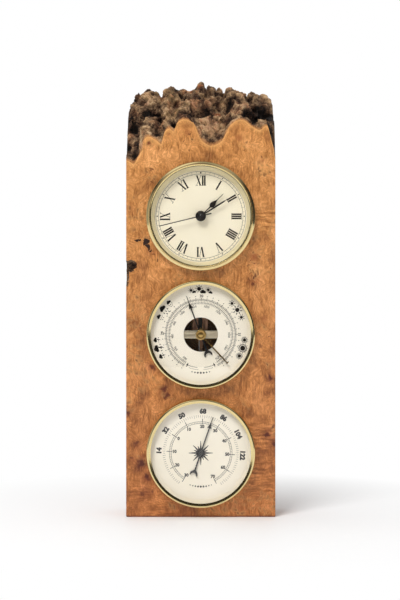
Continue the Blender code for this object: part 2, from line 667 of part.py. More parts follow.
def clock(axes):
    bezel("clock_bezel", axes, True)
    disc("clock_glass", axes, DISC_RADIUS, GLASS_TOP, GLASS_THICKNESS, 0, BEZEL_SIDES, CLEAR)
    ring_bottom = CLOCK_DIAL_TOP + FIT
    ring_outer = CASE_RADIUS - CASE_WALL - FIT
    turned("clock_inner_ring",
           [(BEZEL_LIP, GLASS_BOTTOM - FIT), (DISC_RADIUS, GLASS_BOTTOM - FIT), (DISC_RADIUS, FLANGE_TOP + FIT),
            (ring_outer, FLANGE_TOP + FIT), (ring_outer, ring_bottom), (INNER_RING_RADIUS, ring_bottom)],
           BEZEL_SIDES, PALE_GILT, axes)

    # Radii of the three pipes on the centre line, from the inside out
    cannon_bore = SECONDS_ARBOR + RUNNING
    cannon_outer = cannon_bore + CANNON_WALL
    hour_bore = cannon_outer + RUNNING
    hour_outer = hour_bore + HOUR_PIPE_WALL
    collar_bore = hour_outer + RUNNING
    collar_outer = collar_bore + COLLAR_WALL

    disc("clock_dial", axes, ring_outer, CLOCK_DIAL_TOP, DIAL_THICKNESS, collar_outer + FIT, DIAL_SIDES, ENAMEL)

    # Movement housing behind the dial
    half = MOVEMENT_SIZE / 2
    front = CLOCK_DIAL_TOP - DIAL_THICKNESS - FIT
    inside = front - MOVEMENT_WALL
    back = front - MOVEMENT_DEPTH
    lid = back + MOVEMENT_WALL
    housing = box("movement_front_cover", (-half, -half, lid + FIT), (half, half, front), BLACK_PLASTIC, axes,
                  corner=MOVEMENT_CORNER)
    hollow = half - MOVEMENT_WALL
    cut(housing, box("housing_hollow", (-hollow, -hollow, lid - OVERRUN), (hollow, hollow, inside),
                     BLACK_PLASTIC, axes, cutters, MOVEMENT_CORNER - MOVEMENT_WALL))
    collar_top = CLOCK_DIAL_TOP + FIT + NUT_THICKNESS
    join(housing, cylinder("housing_collar", collar_outer, collar_top, inside - SINK, 20, BLACK_PLASTIC, axes))
    cut(housing, cylinder("collar_bore", collar_bore, collar_top + OVERRUN, inside - OVERRUN, 20, BLACK_PLASTIC,
                          axes))
    nut_bore = collar_outer + RUNNING
    sheet("dial_nut", [circle_points(nut_bore + NUT_WALL, 6), circle_points(nut_bore, 20)], NUT_THICKNESS, BRASS,
          axes, (0, 0, collar_top - NUT_THICKNESS / 2))
    motion_at = polar(mesh_distance(CANNON_TEETH, MOTION_TEETH, MOTION_MODULE), MOTION_DIRECTION)
    setting_at = motion_at + polar(mesh_distance(MOTION_TEETH, SETTING_PINION_TEETH, MOTION_MODULE),
                                   MOTION_DIRECTION)
    post_foot = MOTION_LEVEL - PINION_THICKNESS / 2
    join(housing, cylinder("motion_post", TRAIN_ARBOR, inside + SINK, post_foot, 12, BLACK_PLASTIC, axes,
                           motion_at))

    cover = box("movement_rear_cover", (-half, -half, back), (half, half, lid), BLACK_PLASTIC, axes,
                corner=MOVEMENT_CORNER)
    bay = (BATTERY_LENGTH / 2 + 3 * FIT + CONTACT_THICKNESS, BATTERY_RADIUS + 2 * FIT)
    cut(cover, box("battery_window", (-bay[0], -BATTERY_BELOW - bay[1], back - OVERRUN),
                   (bay[0], -BATTERY_BELOW + bay[1], lid + OVERRUN), BLACK_PLASTIC, axes, cutters))
    setting_shaft = 3 * TRAIN_ARBOR
    cut(cover, cylinder("setting_hole", setting_shaft + RUNNING, lid + OVERRUN, back - OVERRUN, 16,
                        BLACK_PLASTIC, axes, setting_at))

    # The plate that carries the rear half of the train
    third_at = polar(mesh_distance(CENTRE_TEETH, THIRD_PINION_TEETH, CENTRE_MODULE), THIRD_DIRECTION)
    seconds_module = third_at.length * 2 / (THIRD_TEETH + SECONDS_PINION_TEETH)
    intermediate_at = polar(mesh_distance(SECONDS_TEETH, INTERMEDIATE_PINION_TEETH, SECONDS_MODULE),
                            INTERMEDIATE_DIRECTION)
    rotor_at = intermediate_at + polar(mesh_distance(INTERMEDIATE_TEETH, ROTOR_PINION_TEETH, ROTOR_MODULE),
                                       ROTOR_DIRECTION)
    edge = hollow - FIT
    plate_top = setting_at.y - setting_shaft - 2 * FIT
    plate_low = -BATTERY_BELOW + BATTERY_RADIUS + 2 * FIT
    sheet("train_plate",
          [[(-edge, plate_low), (edge, plate_low), (edge, plate_top), (-edge, plate_top)],
           circle_points(cannon_outer, 16), circle_points(TRAIN_ARBOR + RUNNING, 12, third_at)],
          PLATE_THICKNESS, PALE_PLASTIC, axes, (0, 0, PLATE_LEVEL))

    # Hands and wheels on the centre line
    cannon_top = MINUTE_HAND_HEIGHT + HAND_THICKNESS
    cannon_foot = MOTION_LEVEL - PINION_THICKNESS / 2
    spade_hand(axes, hour_outer + RUNNING)
    pointed_hand(axes, cannon_outer + RUNNING)
    seconds_hand(axes)

    cannon_phase = MOTION_DIRECTION
    motion_phase = meshing_phase(CANNON_TEETH, cannon_phase, MOTION_DIRECTION, MOTION_TEETH)
    cannon = wheel("cannon_pinion", CANNON_TEETH, MOTION_MODULE, cannon_phase, MOTION_LEVEL, PINION_THICKNESS,
                   BRASS, axes, (cannon_bore + cannon_outer) / 2, flat_roots=True)
    join(cannon, turned("cannon_pipe", [(cannon_bore, cannon_top), (cannon_outer, cannon_top),
                                        (cannon_outer, cannon_foot - SINK), (cannon_bore, cannon_foot - SINK)],
                        PIPE_SIDES, BRASS, axes))

    hour_top = HOUR_HAND_HEIGHT + HAND_THICKNESS
    hour_foot = HOUR_LEVEL - WHEEL_THICKNESS / 2
    motion_pinion_phase = MOTION_DIRECTION + math.pi
    hour_phase = meshing_phase(MOTION_PINION_TEETH, motion_pinion_phase, MOTION_DIRECTION + math.pi, HOUR_TEETH)
    hour = wheel("hour_wheel", HOUR_TEETH, MOTION_MODULE, hour_phase, HOUR_LEVEL, WHEEL_THICKNESS, PALE_PLASTIC,
                 axes, (hour_bore + hour_outer) / 2)
    join(hour, turned("hour_pipe", [(hour_bore, hour_top), (hour_outer, hour_top), (hour_outer, hour_foot - SINK),
                                    (hour_bore, hour_foot - SINK)], PIPE_SIDES, PALE_PLASTIC, axes))

    centre_phase = THIRD_DIRECTION
    third_pinion_phase = meshing_phase(CENTRE_TEETH, centre_phase, THIRD_DIRECTION, THIRD_PINION_TEETH)
    centre = wheel("centre_wheel", CENTRE_TEETH, CENTRE_MODULE, centre_phase, CENTRE_LEVEL, WHEEL_THICKNESS,
                   BRASS, axes, (cannon_bore + cannon_outer) / 2)
    centre_top = cannon_foot - SINK - FIT
    plate_face = PLATE_LEVEL + PLATE_THICKNESS / 2 + FIT
    join(centre, turned("centre_pipe", [(cannon_bore, centre_top), (cannon_outer, centre_top),
                                        (cannon_outer, plate_face), (cannon_bore, plate_face)],
                        PIPE_SIDES, BRASS, axes))

    seconds_foot = lid + FIT
    seconds_phase = INTERMEDIATE_DIRECTION
    seconds_pinion_phase = THIRD_DIRECTION
    arbor_top = SECOND_HAND_HEIGHT - SINK - FIT
    seconds = wheel("seconds_wheel", SECONDS_TEETH, SECONDS_MODULE, seconds_phase, SECONDS_LEVEL,
                    WHEEL_THICKNESS, BRASS, axes)
    join(seconds, cylinder("seconds_arbor", SECONDS_ARBOR, arbor_top, seconds_foot, ARBOR_SIDES, STEEL, axes))
    join(seconds, wheel("seconds_pinion", SECONDS_PINION_TEETH, seconds_module, seconds_pinion_phase,
                        THIRD_LEVEL, PINION_THICKNESS, STEEL, axes, flat_roots=True))

    # Wheels on their own arbors
    third_phase = meshing_phase(SECONDS_PINION_TEETH, seconds_pinion_phase, THIRD_DIRECTION, THIRD_TEETH)
    third = wheel("third_wheel", THIRD_TEETH, seconds_module, third_phase, THIRD_LEVEL, WHEEL_THICKNESS,
                  BRASS, axes, at=third_at)
    join(third, cylinder("third_arbor", TRAIN_ARBOR, inside - FIT, lid + FIT, ARBOR_SIDES, STEEL, axes, third_at))
    join(third, wheel("third_pinion", THIRD_PINION_TEETH, CENTRE_MODULE, third_pinion_phase, CENTRE_LEVEL,
                      PINION_THICKNESS, STEEL, axes, at=third_at, flat_roots=True))

    intermediate_pinion_phase = meshing_phase(SECONDS_TEETH, seconds_phase, INTERMEDIATE_DIRECTION,
                                              INTERMEDIATE_PINION_TEETH)
    intermediate_phase = ROTOR_DIRECTION
    plate_back = PLATE_LEVEL - PLATE_THICKNESS / 2
    intermediate = wheel("intermediate_wheel", INTERMEDIATE_TEETH, ROTOR_MODULE, intermediate_phase,
                         INTERMEDIATE_LEVEL, WHEEL_THICKNESS, PALE_PLASTIC, axes, at=intermediate_at)
    join(intermediate, cylinder("intermediate_arbor", TRAIN_ARBOR, plate_back - FIT, lid + FIT, ARBOR_SIDES,
                                PALE_PLASTIC, axes, intermediate_at))
    join(intermediate, wheel("intermediate_pinion", INTERMEDIATE_PINION_TEETH, SECONDS_MODULE,
                             intermediate_pinion_phase, SECONDS_LEVEL, PINION_THICKNESS, PALE_PLASTIC, axes,
                             at=intermediate_at, flat_roots=True))

    rotor_pinion_phase = meshing_phase(INTERMEDIATE_TEETH, intermediate_phase, ROTOR_DIRECTION,
                                       ROTOR_PINION_TEETH)
    rotor = wheel("rotor", ROTOR_PINION_TEETH, ROTOR_MODULE, rotor_pinion_phase, INTERMEDIATE_LEVEL,
                  PINION_THICKNESS, BLACK_PLASTIC, axes, at=rotor_at, flat_roots=True)
    join(rotor, cylinder("rotor_arbor", TRAIN_ARBOR, plate_back - FIT, lid + FIT, ARBOR_SIDES,
                         BLACK_PLASTIC, axes, rotor_at))
    join(rotor, cylinder("rotor_magnet", ROTOR_RADIUS, STATOR_HEIGHT + ROTOR_LENGTH / 2,
                         STATOR_HEIGHT - ROTOR_LENGTH / 2, 16, BLACK_PLASTIC, axes, rotor_at))

    motion = wheel("motion_wheel", MOTION_TEETH, MOTION_MODULE, motion_phase, MOTION_LEVEL, WHEEL_THICKNESS,
                   PALE_PLASTIC, axes, TRAIN_ARBOR + RUNNING, motion_at)
    motion_top = MOTION_LEVEL + WHEEL_THICKNESS / 2 - SINK
    pinion_height = inside - FIT - motion_top
    join(motion, wheel("motion_pinion", MOTION_PINION_TEETH, MOTION_MODULE, motion_pinion_phase,
                       motion_top + pinion_height / 2, pinion_height, PALE_PLASTIC, axes,
                       TRAIN_ARBOR + 2 * RUNNING, motion_at, True))

    setting_phase = meshing_phase(MOTION_TEETH, motion_phase, MOTION_DIRECTION, SETTING_PINION_TEETH)
    knob = turned("setting_knob",
                  [(0, back - FIT), (KNOB_RADIUS, back - FIT), (KNOB_RADIUS, back - FIT - KNOB_HEIGHT),
                   (0, back - FIT - KNOB_HEIGHT)], 20, BLACK_PLASTIC, axes, setting_at)
    join(knob, cylinder("setting_shaft", setting_shaft, MOTION_LEVEL, back - FIT - SINK, 16, BLACK_PLASTIC,
                        axes, setting_at))
    join(knob, wheel("setting_pinion", SETTING_PINION_TEETH, MOTION_MODULE, setting_phase, MOTION_LEVEL,
                     PINION_THICKNESS, BLACK_PLASTIC, axes, at=setting_at, flat_roots=True))

    # Stepping motor, cell and its contacts
    coil_y = setting_at.y + FIT
    core = TRAIN_ARBOR + FIT
    coil_left = 2 * setting_shaft + 2 * COIL_RADIUS - ROTOR_RADIUS
    stator_hole = circle_points(ROTOR_RADIUS + 2 * FIT, 20, rotor_at)
    leg = 2 * FIT + SECONDS_ARBOR
    leg_x = intermediate_at.x + ROTOR_RADIUS + FIT
    stator_right = edge - FIT
    coil_right = stator_right - leg - FIT
    yoke_low = rotor_at.y - ROTOR_RADIUS - 2 * leg
    yoke_high = rotor_at.y + ROTOR_RADIUS + 2 * leg
    bend_y = coil_y - COIL_RADIUS - leg
    outer = [(coil_left - 2 * leg, coil_y + core), (coil_left - 2 * leg, bend_y - leg), (leg_x, bend_y - 4 * leg),
             (leg_x, yoke_low), (stator_right, yoke_low), (stator_right, coil_y + core)]
    window = [(coil_left - leg, coil_y - core), (coil_left - leg, bend_y), (leg_x + leg, bend_y - 3 * leg),
              (leg_x + leg, yoke_high), (stator_right - leg, yoke_high), (stator_right - leg, coil_y - core)]
    sheet("motor_stator", [outer, window, stator_hole], STATOR_THICKNESS, STEEL, axes, (0, 0, STATOR_HEIGHT))
    cheek = COIL_RADIUS - 2 * CANNON_WALL
    bore = math.hypot(core, STATOR_THICKNESS / 2) + FIT
    half_coil = (coil_right - coil_left) / 2 - FIT
    turned("motor_coil",
           [(bore, half_coil), (COIL_RADIUS, half_coil), (COIL_RADIUS, half_coil - CANNON_WALL),
            (cheek, half_coil - CANNON_WALL), (cheek, CANNON_WALL - half_coil),
            (COIL_RADIUS, CANNON_WALL - half_coil), (COIL_RADIUS, -half_coil), (bore, -half_coil)],
           16, WINDING, axes, ((coil_left + coil_right) / 2, coil_y, STATOR_HEIGHT), (0, math.pi / 2, 0))

    cell_half = BATTERY_LENGTH / 2
    nub = 3 * FIT
    turned("battery_cell",
           [(0, cell_half), (BATTERY_RADIUS / 3, cell_half), (BATTERY_RADIUS / 3, cell_half - nub),
            (BATTERY_RADIUS - FIT, cell_half - nub), (BATTERY_RADIUS, cell_half - 2 * nub),
            (BATTERY_RADIUS, -cell_half + FIT), (BATTERY_RADIUS - FIT, -cell_half), (0, -cell_half)],
           20, CELL, axes, (0, -BATTERY_BELOW, BATTERY_HEIGHT), (0, math.pi / 2, 0))
    tall = BATTERY_RADIUS - nub
    wide = BATTERY_RADIUS - 2 * nub
    for name, side in (("battery_contact_positive", 1), ("battery_contact_negative", -1)):
        near = side * (cell_half + FIT)
        far = near + side * CONTACT_THICKNESS
        low_x, high_x = min(near, far), max(near, far)
        box(name, (low_x, -BATTERY_BELOW - wide, BATTERY_HEIGHT - tall),
            (high_x, -BATTERY_BELOW + wide, BATTERY_HEIGHT + tall), STEEL, axes)

    board_low = plate_low + FIT
    box("circuit_board", (rotor_at.x - BATTERY_RADIUS, board_low, STATOR_HEIGHT - WHEEL_THICKNESS),
        (edge, yoke_low - FIT, STATOR_HEIGHT + WHEEL_THICKNESS / 2), BOARD, axes)

    shell = case("clock_case", axes, CLOCK_CASE_DEPTH, BLACK_PLASTIC)
    opening = half + FIT
    cut(shell, box("case_window", (-opening, -opening, -CLOCK_CASE_DEPTH - OVERRUN),
                   (opening, opening, -CLOCK_CASE_DEPTH + CASE_FLOOR + OVERRUN), BLACK_PLASTIC, axes, cutters,
                   MOVEMENT_CORNER))
    grip_ring("clock_grip_ring", axes)


# Needle with an arrowhead and a crescent tail, shared by barometer and thermometer

def crescent_needle(name, axes, length, angle):
    hub = 2.2 * POINTER_ARBOR
    thin = 0.011 * length
    head = 0.70 * length
    barb = 0.045 * length
    tail = 0.50 * length
    horn = 0.108 * length
    half = [(thin * 0.5, length), (thin * 0.8, head + 2.2 * barb), (barb, head - barb * 0.2), (thin, head),
            (thin, hub)]
    half += [(hub * math.cos(a), hub * math.sin(a)) for a in (math.pi / 4, 0, -math.pi / 4)]
    half += [(thin, -hub), (thin, -tail)]
    outer = [(horn * math.sin(a), -tail - horn + horn * math.cos(a))
             for a in (math.radians(18), math.radians(50), math.radians(80), math.radians(105))]
    inner = [(0.66 * horn * math.sin(a), -tail - 1.18 * horn + 0.72 * horn * math.cos(a))
             for a in (math.radians(80), math.radians(45), 0)]
    half += outer + inner
    right = half
    left = [(-x, y) for x, y in reversed(half[:-1])]
    return sheet(name, [right + left], POINTER_THICKNESS, BLACK_METAL, axes,
                 (0, 0, POINTER_HEIGHT + POINTER_THICKNESS / 2), (0, 0, -angle))


# A flat strip wound into a spiral, standing on edge
def spiral_strip(name, axes, inner, outer, turns, width, thickness, level, steps, material):
    mesh = bpy.data.meshes.new(name)
    shape = bmesh.new()
    count = int(turns * steps)
    rows = []
    for i in range(count + 1):
        angle = 2 * math.pi * i / steps
        radius = inner + (outer - inner) * i / count
        rows.append([shape.verts.new((radius * math.cos(angle), radius * math.sin(angle), z))
                     for z in (-width / 2, width / 2)])
    for first, second in zip(rows, rows[1:]):
        shape.faces.new((first[0], second[0], second[1], first[1]))
    shape.to_mesh(mesh)
    shape.free()
    strip = solid(name, mesh, material, axes, (0, 0, level))
    wall = strip.modifiers.new("wall", "SOLIDIFY")
    wall.thickness = thickness
    wall.offset = 0
    pitch = (outer - inner) / turns
    print(name, "gap between turns", round((pitch - thickness) * 1000, 2), "mm")
    return strip


# Barometer

def barometer(axes):
    bezel("barometer_bezel", axes, False)
    disc("barometer_glass", axes, DISC_RADIUS, GLASS_TOP, GLASS_THICKNESS, SET_SHAFT_RADIUS + RUNNING,
         BEZEL_SIDES, CLEAR)
    disc("barometer_dial", axes, DISC_RADIUS, DIAL_SEAT, DIAL_THICKNESS, APERTURE_RADIUS, DIAL_SIDES, ENAMEL)

    bridge_top = DIAL_SEAT - DIAL_THICKNESS - 4 * FIT
    bridge_bottom = bridge_top - BRIDGE_THICKNESS

    # Base plate with bent-up ears for the lever and the rocking shaft
    base = cylinder("base_plate", BASE_RADIUS, BASE_TOP, BASE_BOTTOM, CASE_SIDES, BRASS, axes)
    shaft_ear = SHAFT_LENGTH / 2 + FIT
    lever_ear = SPRING_WIDTH / 2 + 4 * FIT + EAR_THICKNESS
    pin_hole = SHAFT_RADIUS + RUNNING
    for side in (-1, 1):
        for tag, x, y, top in (("shaft", shaft_ear, SHAFT_Y, SHAFT_LEVEL + EAR_WIDTH / 2),
                               ("lever", lever_ear, LEVER_PIVOT_Y, LEVER_LEVEL + EAR_WIDTH / 2)):
            inner_x, outer_x = sorted((side * x, side * (x + EAR_THICKNESS)))
            join(base, box(f"{tag}_ear_{side}", (inner_x, y - EAR_WIDTH / 2, BASE_TOP - SINK),
                           (outer_x, y + EAR_WIDTH / 2, top), BRASS, axes))
    reach = shaft_ear + 2 * EAR_THICKNESS
    for tag, y, level in (("shaft", SHAFT_Y, SHAFT_LEVEL), ("lever", LEVER_PIVOT_Y, LEVER_LEVEL)):
        cut(base, cylinder(f"{tag}_pivot_holes", pin_hole, reach, -reach, 12, BRASS, axes, (0, y, level),
                           (0, math.pi / 2, 0)))
    cut(base, cylinder("adjuster_thread", ADJUSTER_SHANK + RUNNING, BASE_TOP + OVERRUN, BASE_BOTTOM - OVERRUN,
                       12, BRASS, axes, (0, ADJUSTER_Y, 0)))

    # Corrugated capsule with a stud on each face
    half = CAPSULE_THICKNESS / 2
    stud = 2 * SHAFT_RADIUS
    face = []
    waves = 2 * CAPSULE_WAVES
    for i in range(waves + 1):
        radius = stud + (CAPSULE_RADIUS - 2 * stud) * i / waves
        face.append((radius, half - STUD_HEIGHT - (WAVE_HEIGHT if i % 2 else 0)))
    rim = [(CAPSULE_RADIUS, half - 3 * STUD_HEIGHT), (CAPSULE_RADIUS, 3 * STUD_HEIGHT - half)]
    profile = [(0, half), (stud, half)] + face + rim
    profile += [(radius, -height) for radius, height in reversed(face)] + [(stud, -half), (0, -half)]
    turned("aneroid_capsule", profile, CAPSULE_SIDES, NICKEL, axes, (0, 0, CAPSULE_LEVEL))

    # Leaf spring that holds the capsule open, drawn in the y-z plane
    top = SPRING_TOP
    root = CAPSULE_RADIUS + 2 * stud + EAR_WIDTH / 2
    bend = root + EAR_WIDTH
    tip = -2 * stud
    t = SPRING_THICKNESS
    low = BASE_TOP + FIT
    spring = [(root, low), (bend, low), (bend + t, low + t), (bend + t, top - t), (bend, top), (tip, top),
              (tip, top - t), (bend - t / 2, top - t), (bend, top - 2 * t), (bend, low + 2 * t),
              (bend - t / 2, low + t), (root, low + t)]
    sheet("main_spring", [[(y, z) for y, z in spring]], SPRING_WIDTH, COPPER, axes,
          turn=(math.pi / 2, 0, math.pi / 2))

    # Forked lever, hinged at the top, whose tip works the rocking shaft's crank
    tip_y = SHAFT_Y + CRANK_LENGTH - SHAFT_RADIUS
    arm = LEVER_ARM_WIDTH / 2
    outline = [(LEVER_LEFT - arm, LEVER_PIVOT_Y), (LEVER_LEFT - arm, -arm), (-arm, -2 * arm), (-arm / 2, tip_y),
               (arm / 2, tip_y), (arm, -2 * arm), (LEVER_RIGHT + arm, -arm), (LEVER_RIGHT + arm, LEVER_PIVOT_Y)]
    slot = [(LEVER_LEFT + arm, LEVER_PIVOT_Y - arm), (LEVER_LEFT + arm, arm), (LEVER_RIGHT - arm, arm),
            (LEVER_RIGHT - arm, LEVER_PIVOT_Y - arm)]
    lever = sheet("main_lever", [outline, slot], LEVER_THICKNESS, COPPER, axes, (0, 0, LEVER_LEVEL))
    pin = lever_ear + EAR_THICKNESS
    join(lever, cylinder("lever_pin", SHAFT_RADIUS, pin, -pin, 12, STEEL, axes, (0, LEVER_PIVOT_Y, LEVER_LEVEL),
                         (0, math.pi / 2, 0)))

    # Rocking shaft with its crank and the long arm that pulls the chain
    shaft_half = shaft_ear + EAR_THICKNESS
    shaft = cylinder("rocking_shaft", SHAFT_RADIUS, shaft_half, -shaft_half, 12, STEEL, axes,
                     (0, SHAFT_Y, SHAFT_LEVEL), (0, math.pi / 2, 0))
    crank_half = SHAFT_RADIUS / 2
    join(shaft, box("crank", (-crank_half, SHAFT_Y, SHAFT_LEVEL - crank_half),
                    (crank_half, SHAFT_Y + CRANK_LENGTH, SHAFT_LEVEL + crank_half), STEEL, axes))
    chain_x = -PULLEY_RADIUS - CHAIN_RADIUS - RUNNING
    join(shaft, box("long_arm", (chain_x - ARM_WIDTH / 2, SHAFT_Y - ARM_WIDTH / 2, SHAFT_LEVEL),
                    (chain_x + ARM_WIDTH / 2, SHAFT_Y + ARM_WIDTH / 2, CHAIN_LEVEL + ARM_WIDTH / 2), STEEL, axes))

    # Chain from the long arm, along the pulley's side
    chain_low = SHAFT_Y + ARM_WIDTH / 2 + FIT
    chain_high = PULLEY_RADIUS
    cylinder("pull_chain", CHAIN_RADIUS, -chain_low, -chain_high, 8, STEEL, axes, (chain_x, 0, CHAIN_LEVEL),
             (math.pi / 2, 0, 0))

    # Bridge across the aperture, on two pillars, with a stirrup for the arbor's foot
    bridge = box("arbor_bridge", (-BRIDGE_LENGTH / 2, -BRIDGE_WIDTH / 2, bridge_bottom),
                 (BRIDGE_LENGTH / 2, BRIDGE_WIDTH / 2, bridge_top), NICKEL, axes)
    stirrup_x = HAIRSPRING_OUTER + 3 * FIT
    stirrup_foot = HAIRSPRING_LEVEL - HAIRSPRING_WIDTH / 2 - BRIDGE_THICKNESS - FIT
    half_stirrup = BRIDGE_WIDTH / 4
    join(bridge, box("stirrup_leg", (-stirrup_x - BRIDGE_THICKNESS, -half_stirrup, stirrup_foot),
                     (-stirrup_x, half_stirrup, bridge_bottom + SINK), NICKEL, axes))
    join(bridge, box("stirrup_foot", (-stirrup_x - SINK, -half_stirrup, stirrup_foot),
                     (half_stirrup, half_stirrup, stirrup_foot + BRIDGE_THICKNESS), NICKEL, axes))
    cut(bridge, cylinder("arbor_hole", POINTER_ARBOR + RUNNING, bridge_top + OVERRUN, bridge_bottom - OVERRUN,
                         12, NICKEL, axes))
    screw_foot = bridge_bottom - FIT - SCREW_GRIP
    for name, side in (("left", -1), ("right", 1)):
        x = side * PILLAR_OFFSET
        pillar = cylinder(f"{name}_pillar", PILLAR_RADIUS, bridge_bottom - FIT, BASE_TOP + FIT, 14, BRASS, axes,
                          (x, 0, 0))
        screw_hole(pillar, f"{name}_pillar_bore", axes, x, 0, bridge_bottom + OVERRUN, screw_foot - FIT)
        screw_hole(bridge, f"{name}_bridge_hole", axes, x, 0, bridge_top + OVERRUN, bridge_bottom - OVERRUN)
        slotted_screw(f"{name}_bridge_screw", axes, x, 0, bridge_top + FIT, screw_foot)

    spiral_strip("hairspring", axes, HAIRSPRING_INNER, HAIRSPRING_OUTER, HAIRSPRING_TURNS, HAIRSPRING_WIDTH,
                 HAIRSPRING_THICKNESS, HAIRSPRING_LEVEL, 16, BRASS)

    # Pointer arbor with its pulley
    arbor_foot = stirrup_foot + BRIDGE_THICKNESS + FIT
    pulley_top = CHAIN_LEVEL + CHAIN_RADIUS + FIT
    pulley_bottom = CHAIN_LEVEL - CHAIN_RADIUS - FIT
    turned("pointer_arbor",
           [(0, POINTER_HEIGHT - FIT), (POINTER_ARBOR, POINTER_HEIGHT - FIT), (POINTER_ARBOR, pulley_top),
            (PULLEY_RADIUS, pulley_top), (PULLEY_RADIUS, pulley_bottom), (POINTER_ARBOR, pulley_bottom),
            (POINTER_ARBOR, arbor_foot), (0, arbor_foot)], 14, BRASS, axes)
    crescent_needle("pressure_hand", axes, PRESSURE_LENGTH, PRESSURE_ANGLE)

    # Brass set hand on the knob's shaft, which passes through the glass
    near = 0.016 * SET_HAND_LENGTH
    far = 0.007 * SET_HAND_LENGTH
    hub = [(SET_SHAFT_RADIUS * math.cos(a), SET_SHAFT_RADIUS * math.sin(a))
           for a in (math.radians(-240 + 30 * i) for i in range(11))]
    sheet("set_hand", [hub + [(near, SET_SHAFT_RADIUS), (far, SET_HAND_LENGTH), (-far, SET_HAND_LENGTH),
                              (-near, SET_SHAFT_RADIUS)]],
          POINTER_THICKNESS, BRASS, axes, (0, 0, SET_HAND_HEIGHT + POINTER_THICKNESS / 2),
          (0, 0, -SET_HAND_ANGLE))
    knob_low = GLASS_TOP + FIT
    knob_high = knob_low + SET_KNOB_HEIGHT
    shaft_low = SET_HAND_HEIGHT + POINTER_THICKNESS + FIT
    waist = 0.86 * SET_KNOB_RADIUS
    turned("set_knob",
           [(0, knob_high + FIT), (0.7 * SET_KNOB_RADIUS, knob_high), (SET_KNOB_RADIUS, knob_high - FIT),
            (SET_KNOB_RADIUS, knob_low + SET_KNOB_HEIGHT / 2), (waist, knob_low + SET_KNOB_HEIGHT / 3),
            (waist, knob_low), (SET_SHAFT_RADIUS, knob_low), (SET_SHAFT_RADIUS, shaft_low), (0, shaft_low)],
           24, BRASS, axes)

    # Adjusting screw, reached through the case's floor
    shell = case("barometer_case", axes, CASE_DEPTH, CASE_METAL)
    cut(shell, cylinder("adjuster_hole", ADJUSTER_HEAD + 2 * RUNNING, BASE_BOTTOM + OVERRUN,
                        -CASE_DEPTH - OVERRUN, 16, CASE_METAL, axes, (0, ADJUSTER_Y, 0)))
    screw = cylinder("adjusting_screw", ADJUSTER_HEAD, BASE_BOTTOM - FIT, -CASE_DEPTH - FIT, 16,
                     BRASS, axes, (0, ADJUSTER_Y, 0))
    join(screw, cylinder("adjuster_shank", ADJUSTER_SHANK, BASE_TOP + FIT, BASE_BOTTOM - FIT - SINK, 12, BRASS,
                         axes, (0, ADJUSTER_Y, 0)))
    slot_half = ADJUSTER_HEAD / 6
    cut(screw, box("screw_slot", (-ADJUSTER_HEAD - OVERRUN, ADJUSTER_Y - slot_half,
                                  -CASE_DEPTH - OVERRUN),
                   (ADJUSTER_HEAD + OVERRUN, ADJUSTER_Y + slot_half, -CASE_DEPTH + FIT), BRASS, axes,
                   cutters))
    grip_ring("barometer_grip_ring", axes)


# Thermometer

def thermometer(axes):
    bezel("thermometer_bezel", axes, False)
    disc("thermometer_glass", axes, DISC_RADIUS, GLASS_TOP, GLASS_THICKNESS, 0, BEZEL_SIDES, CLEAR)
    disc("thermometer_dial", axes, DISC_RADIUS, DIAL_SEAT, DIAL_THICKNESS, 2 * POINTER_ARBOR, DIAL_SIDES, ENAMEL)
    case("thermometer_case", axes, CASE_DEPTH, CASE_METAL)
    grip_ring("thermometer_grip_ring", axes)

    # Closed frame that stands on the case's floor, drawn in the x-z plane
    top = DIAL_SEAT - DIAL_THICKNESS - 4 * FIT
    bottom = CASE_FLOOR - CASE_DEPTH + FIT
    wall = BRACKET_THICKNESS
    inner = BRACKET_HALF - wall
    frame = sheet("coil_bracket",
                  [[(-BRACKET_HALF, bottom), (BRACKET_HALF, bottom), (BRACKET_HALF, top), (-BRACKET_HALF, top)],
                   [(-inner, bottom + wall), (inner, bottom + wall), (inner, top - wall), (-inner, top - wall)]],
                  BRACKET_WIDTH, NICKEL, axes, turn=(math.pi / 2, 0, 0))
    cut(frame, cylinder("bracket_hole", POINTER_ARBOR + RUNNING, top + OVERRUN, top - wall - OVERRUN, 12,
                        NICKEL, axes))

    spiral_strip("bimetal_coil", axes, COIL_INNER, COIL_OUTER, COIL_TURNS, COIL_WIDTH, COIL_THICKNESS,
                 COIL_LEVEL, 16, NICKEL)
    hub = COIL_INNER - COIL_THICKNESS - FIT
    turned("temperature_arbor",
           [(0, POINTER_HEIGHT - FIT), (POINTER_ARBOR, POINTER_HEIGHT - FIT),
            (POINTER_ARBOR, COIL_LEVEL + COIL_WIDTH / 2), (hub, COIL_LEVEL + COIL_WIDTH / 2),
            (hub, COIL_LEVEL - COIL_WIDTH / 2), (POINTER_ARBOR, COIL_LEVEL - COIL_WIDTH / 2),
            (POINTER_ARBOR, bottom + wall + FIT), (0, bottom + wall + FIT)], 14, BRASS, axes)
    crescent_needle("temperature_hand", axes, TEMPERATURE_LENGTH, TEMPERATURE_ANGLE)


# Assembly

thermometer_axes = instrument_axes("thermometer_axes", 0)
barometer_axes = instrument_axes("barometer_axes", 1)
clock_axes = instrument_axes("clock_axes", 2)

block = burr_block()
cut(block, bark_void())
for axes in (thermometer_axes, barometer_axes, clock_axes):
    cut(block, cylinder("pocket", POCKET_RADIUS, OVERRUN, -POCKET_DEPTH, POCKET_SIDES, BURR_WOOD, axes))

clock(clock_axes)
barometer(barometer_axes)
thermometer(thermometer_axes)
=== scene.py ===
# Weather station clock: a burr wood slab with a clock, a barometer and a thermometer.
# Lengths are in metres, apart from the plain numbers in the inserts' sections and outlines and in
# the tables of spots, which are in mm. The dials look towards -Y and the slab stands on z = 0.
import math

import bmesh
import bpy
from mathutils import Matrix, Vector, noise


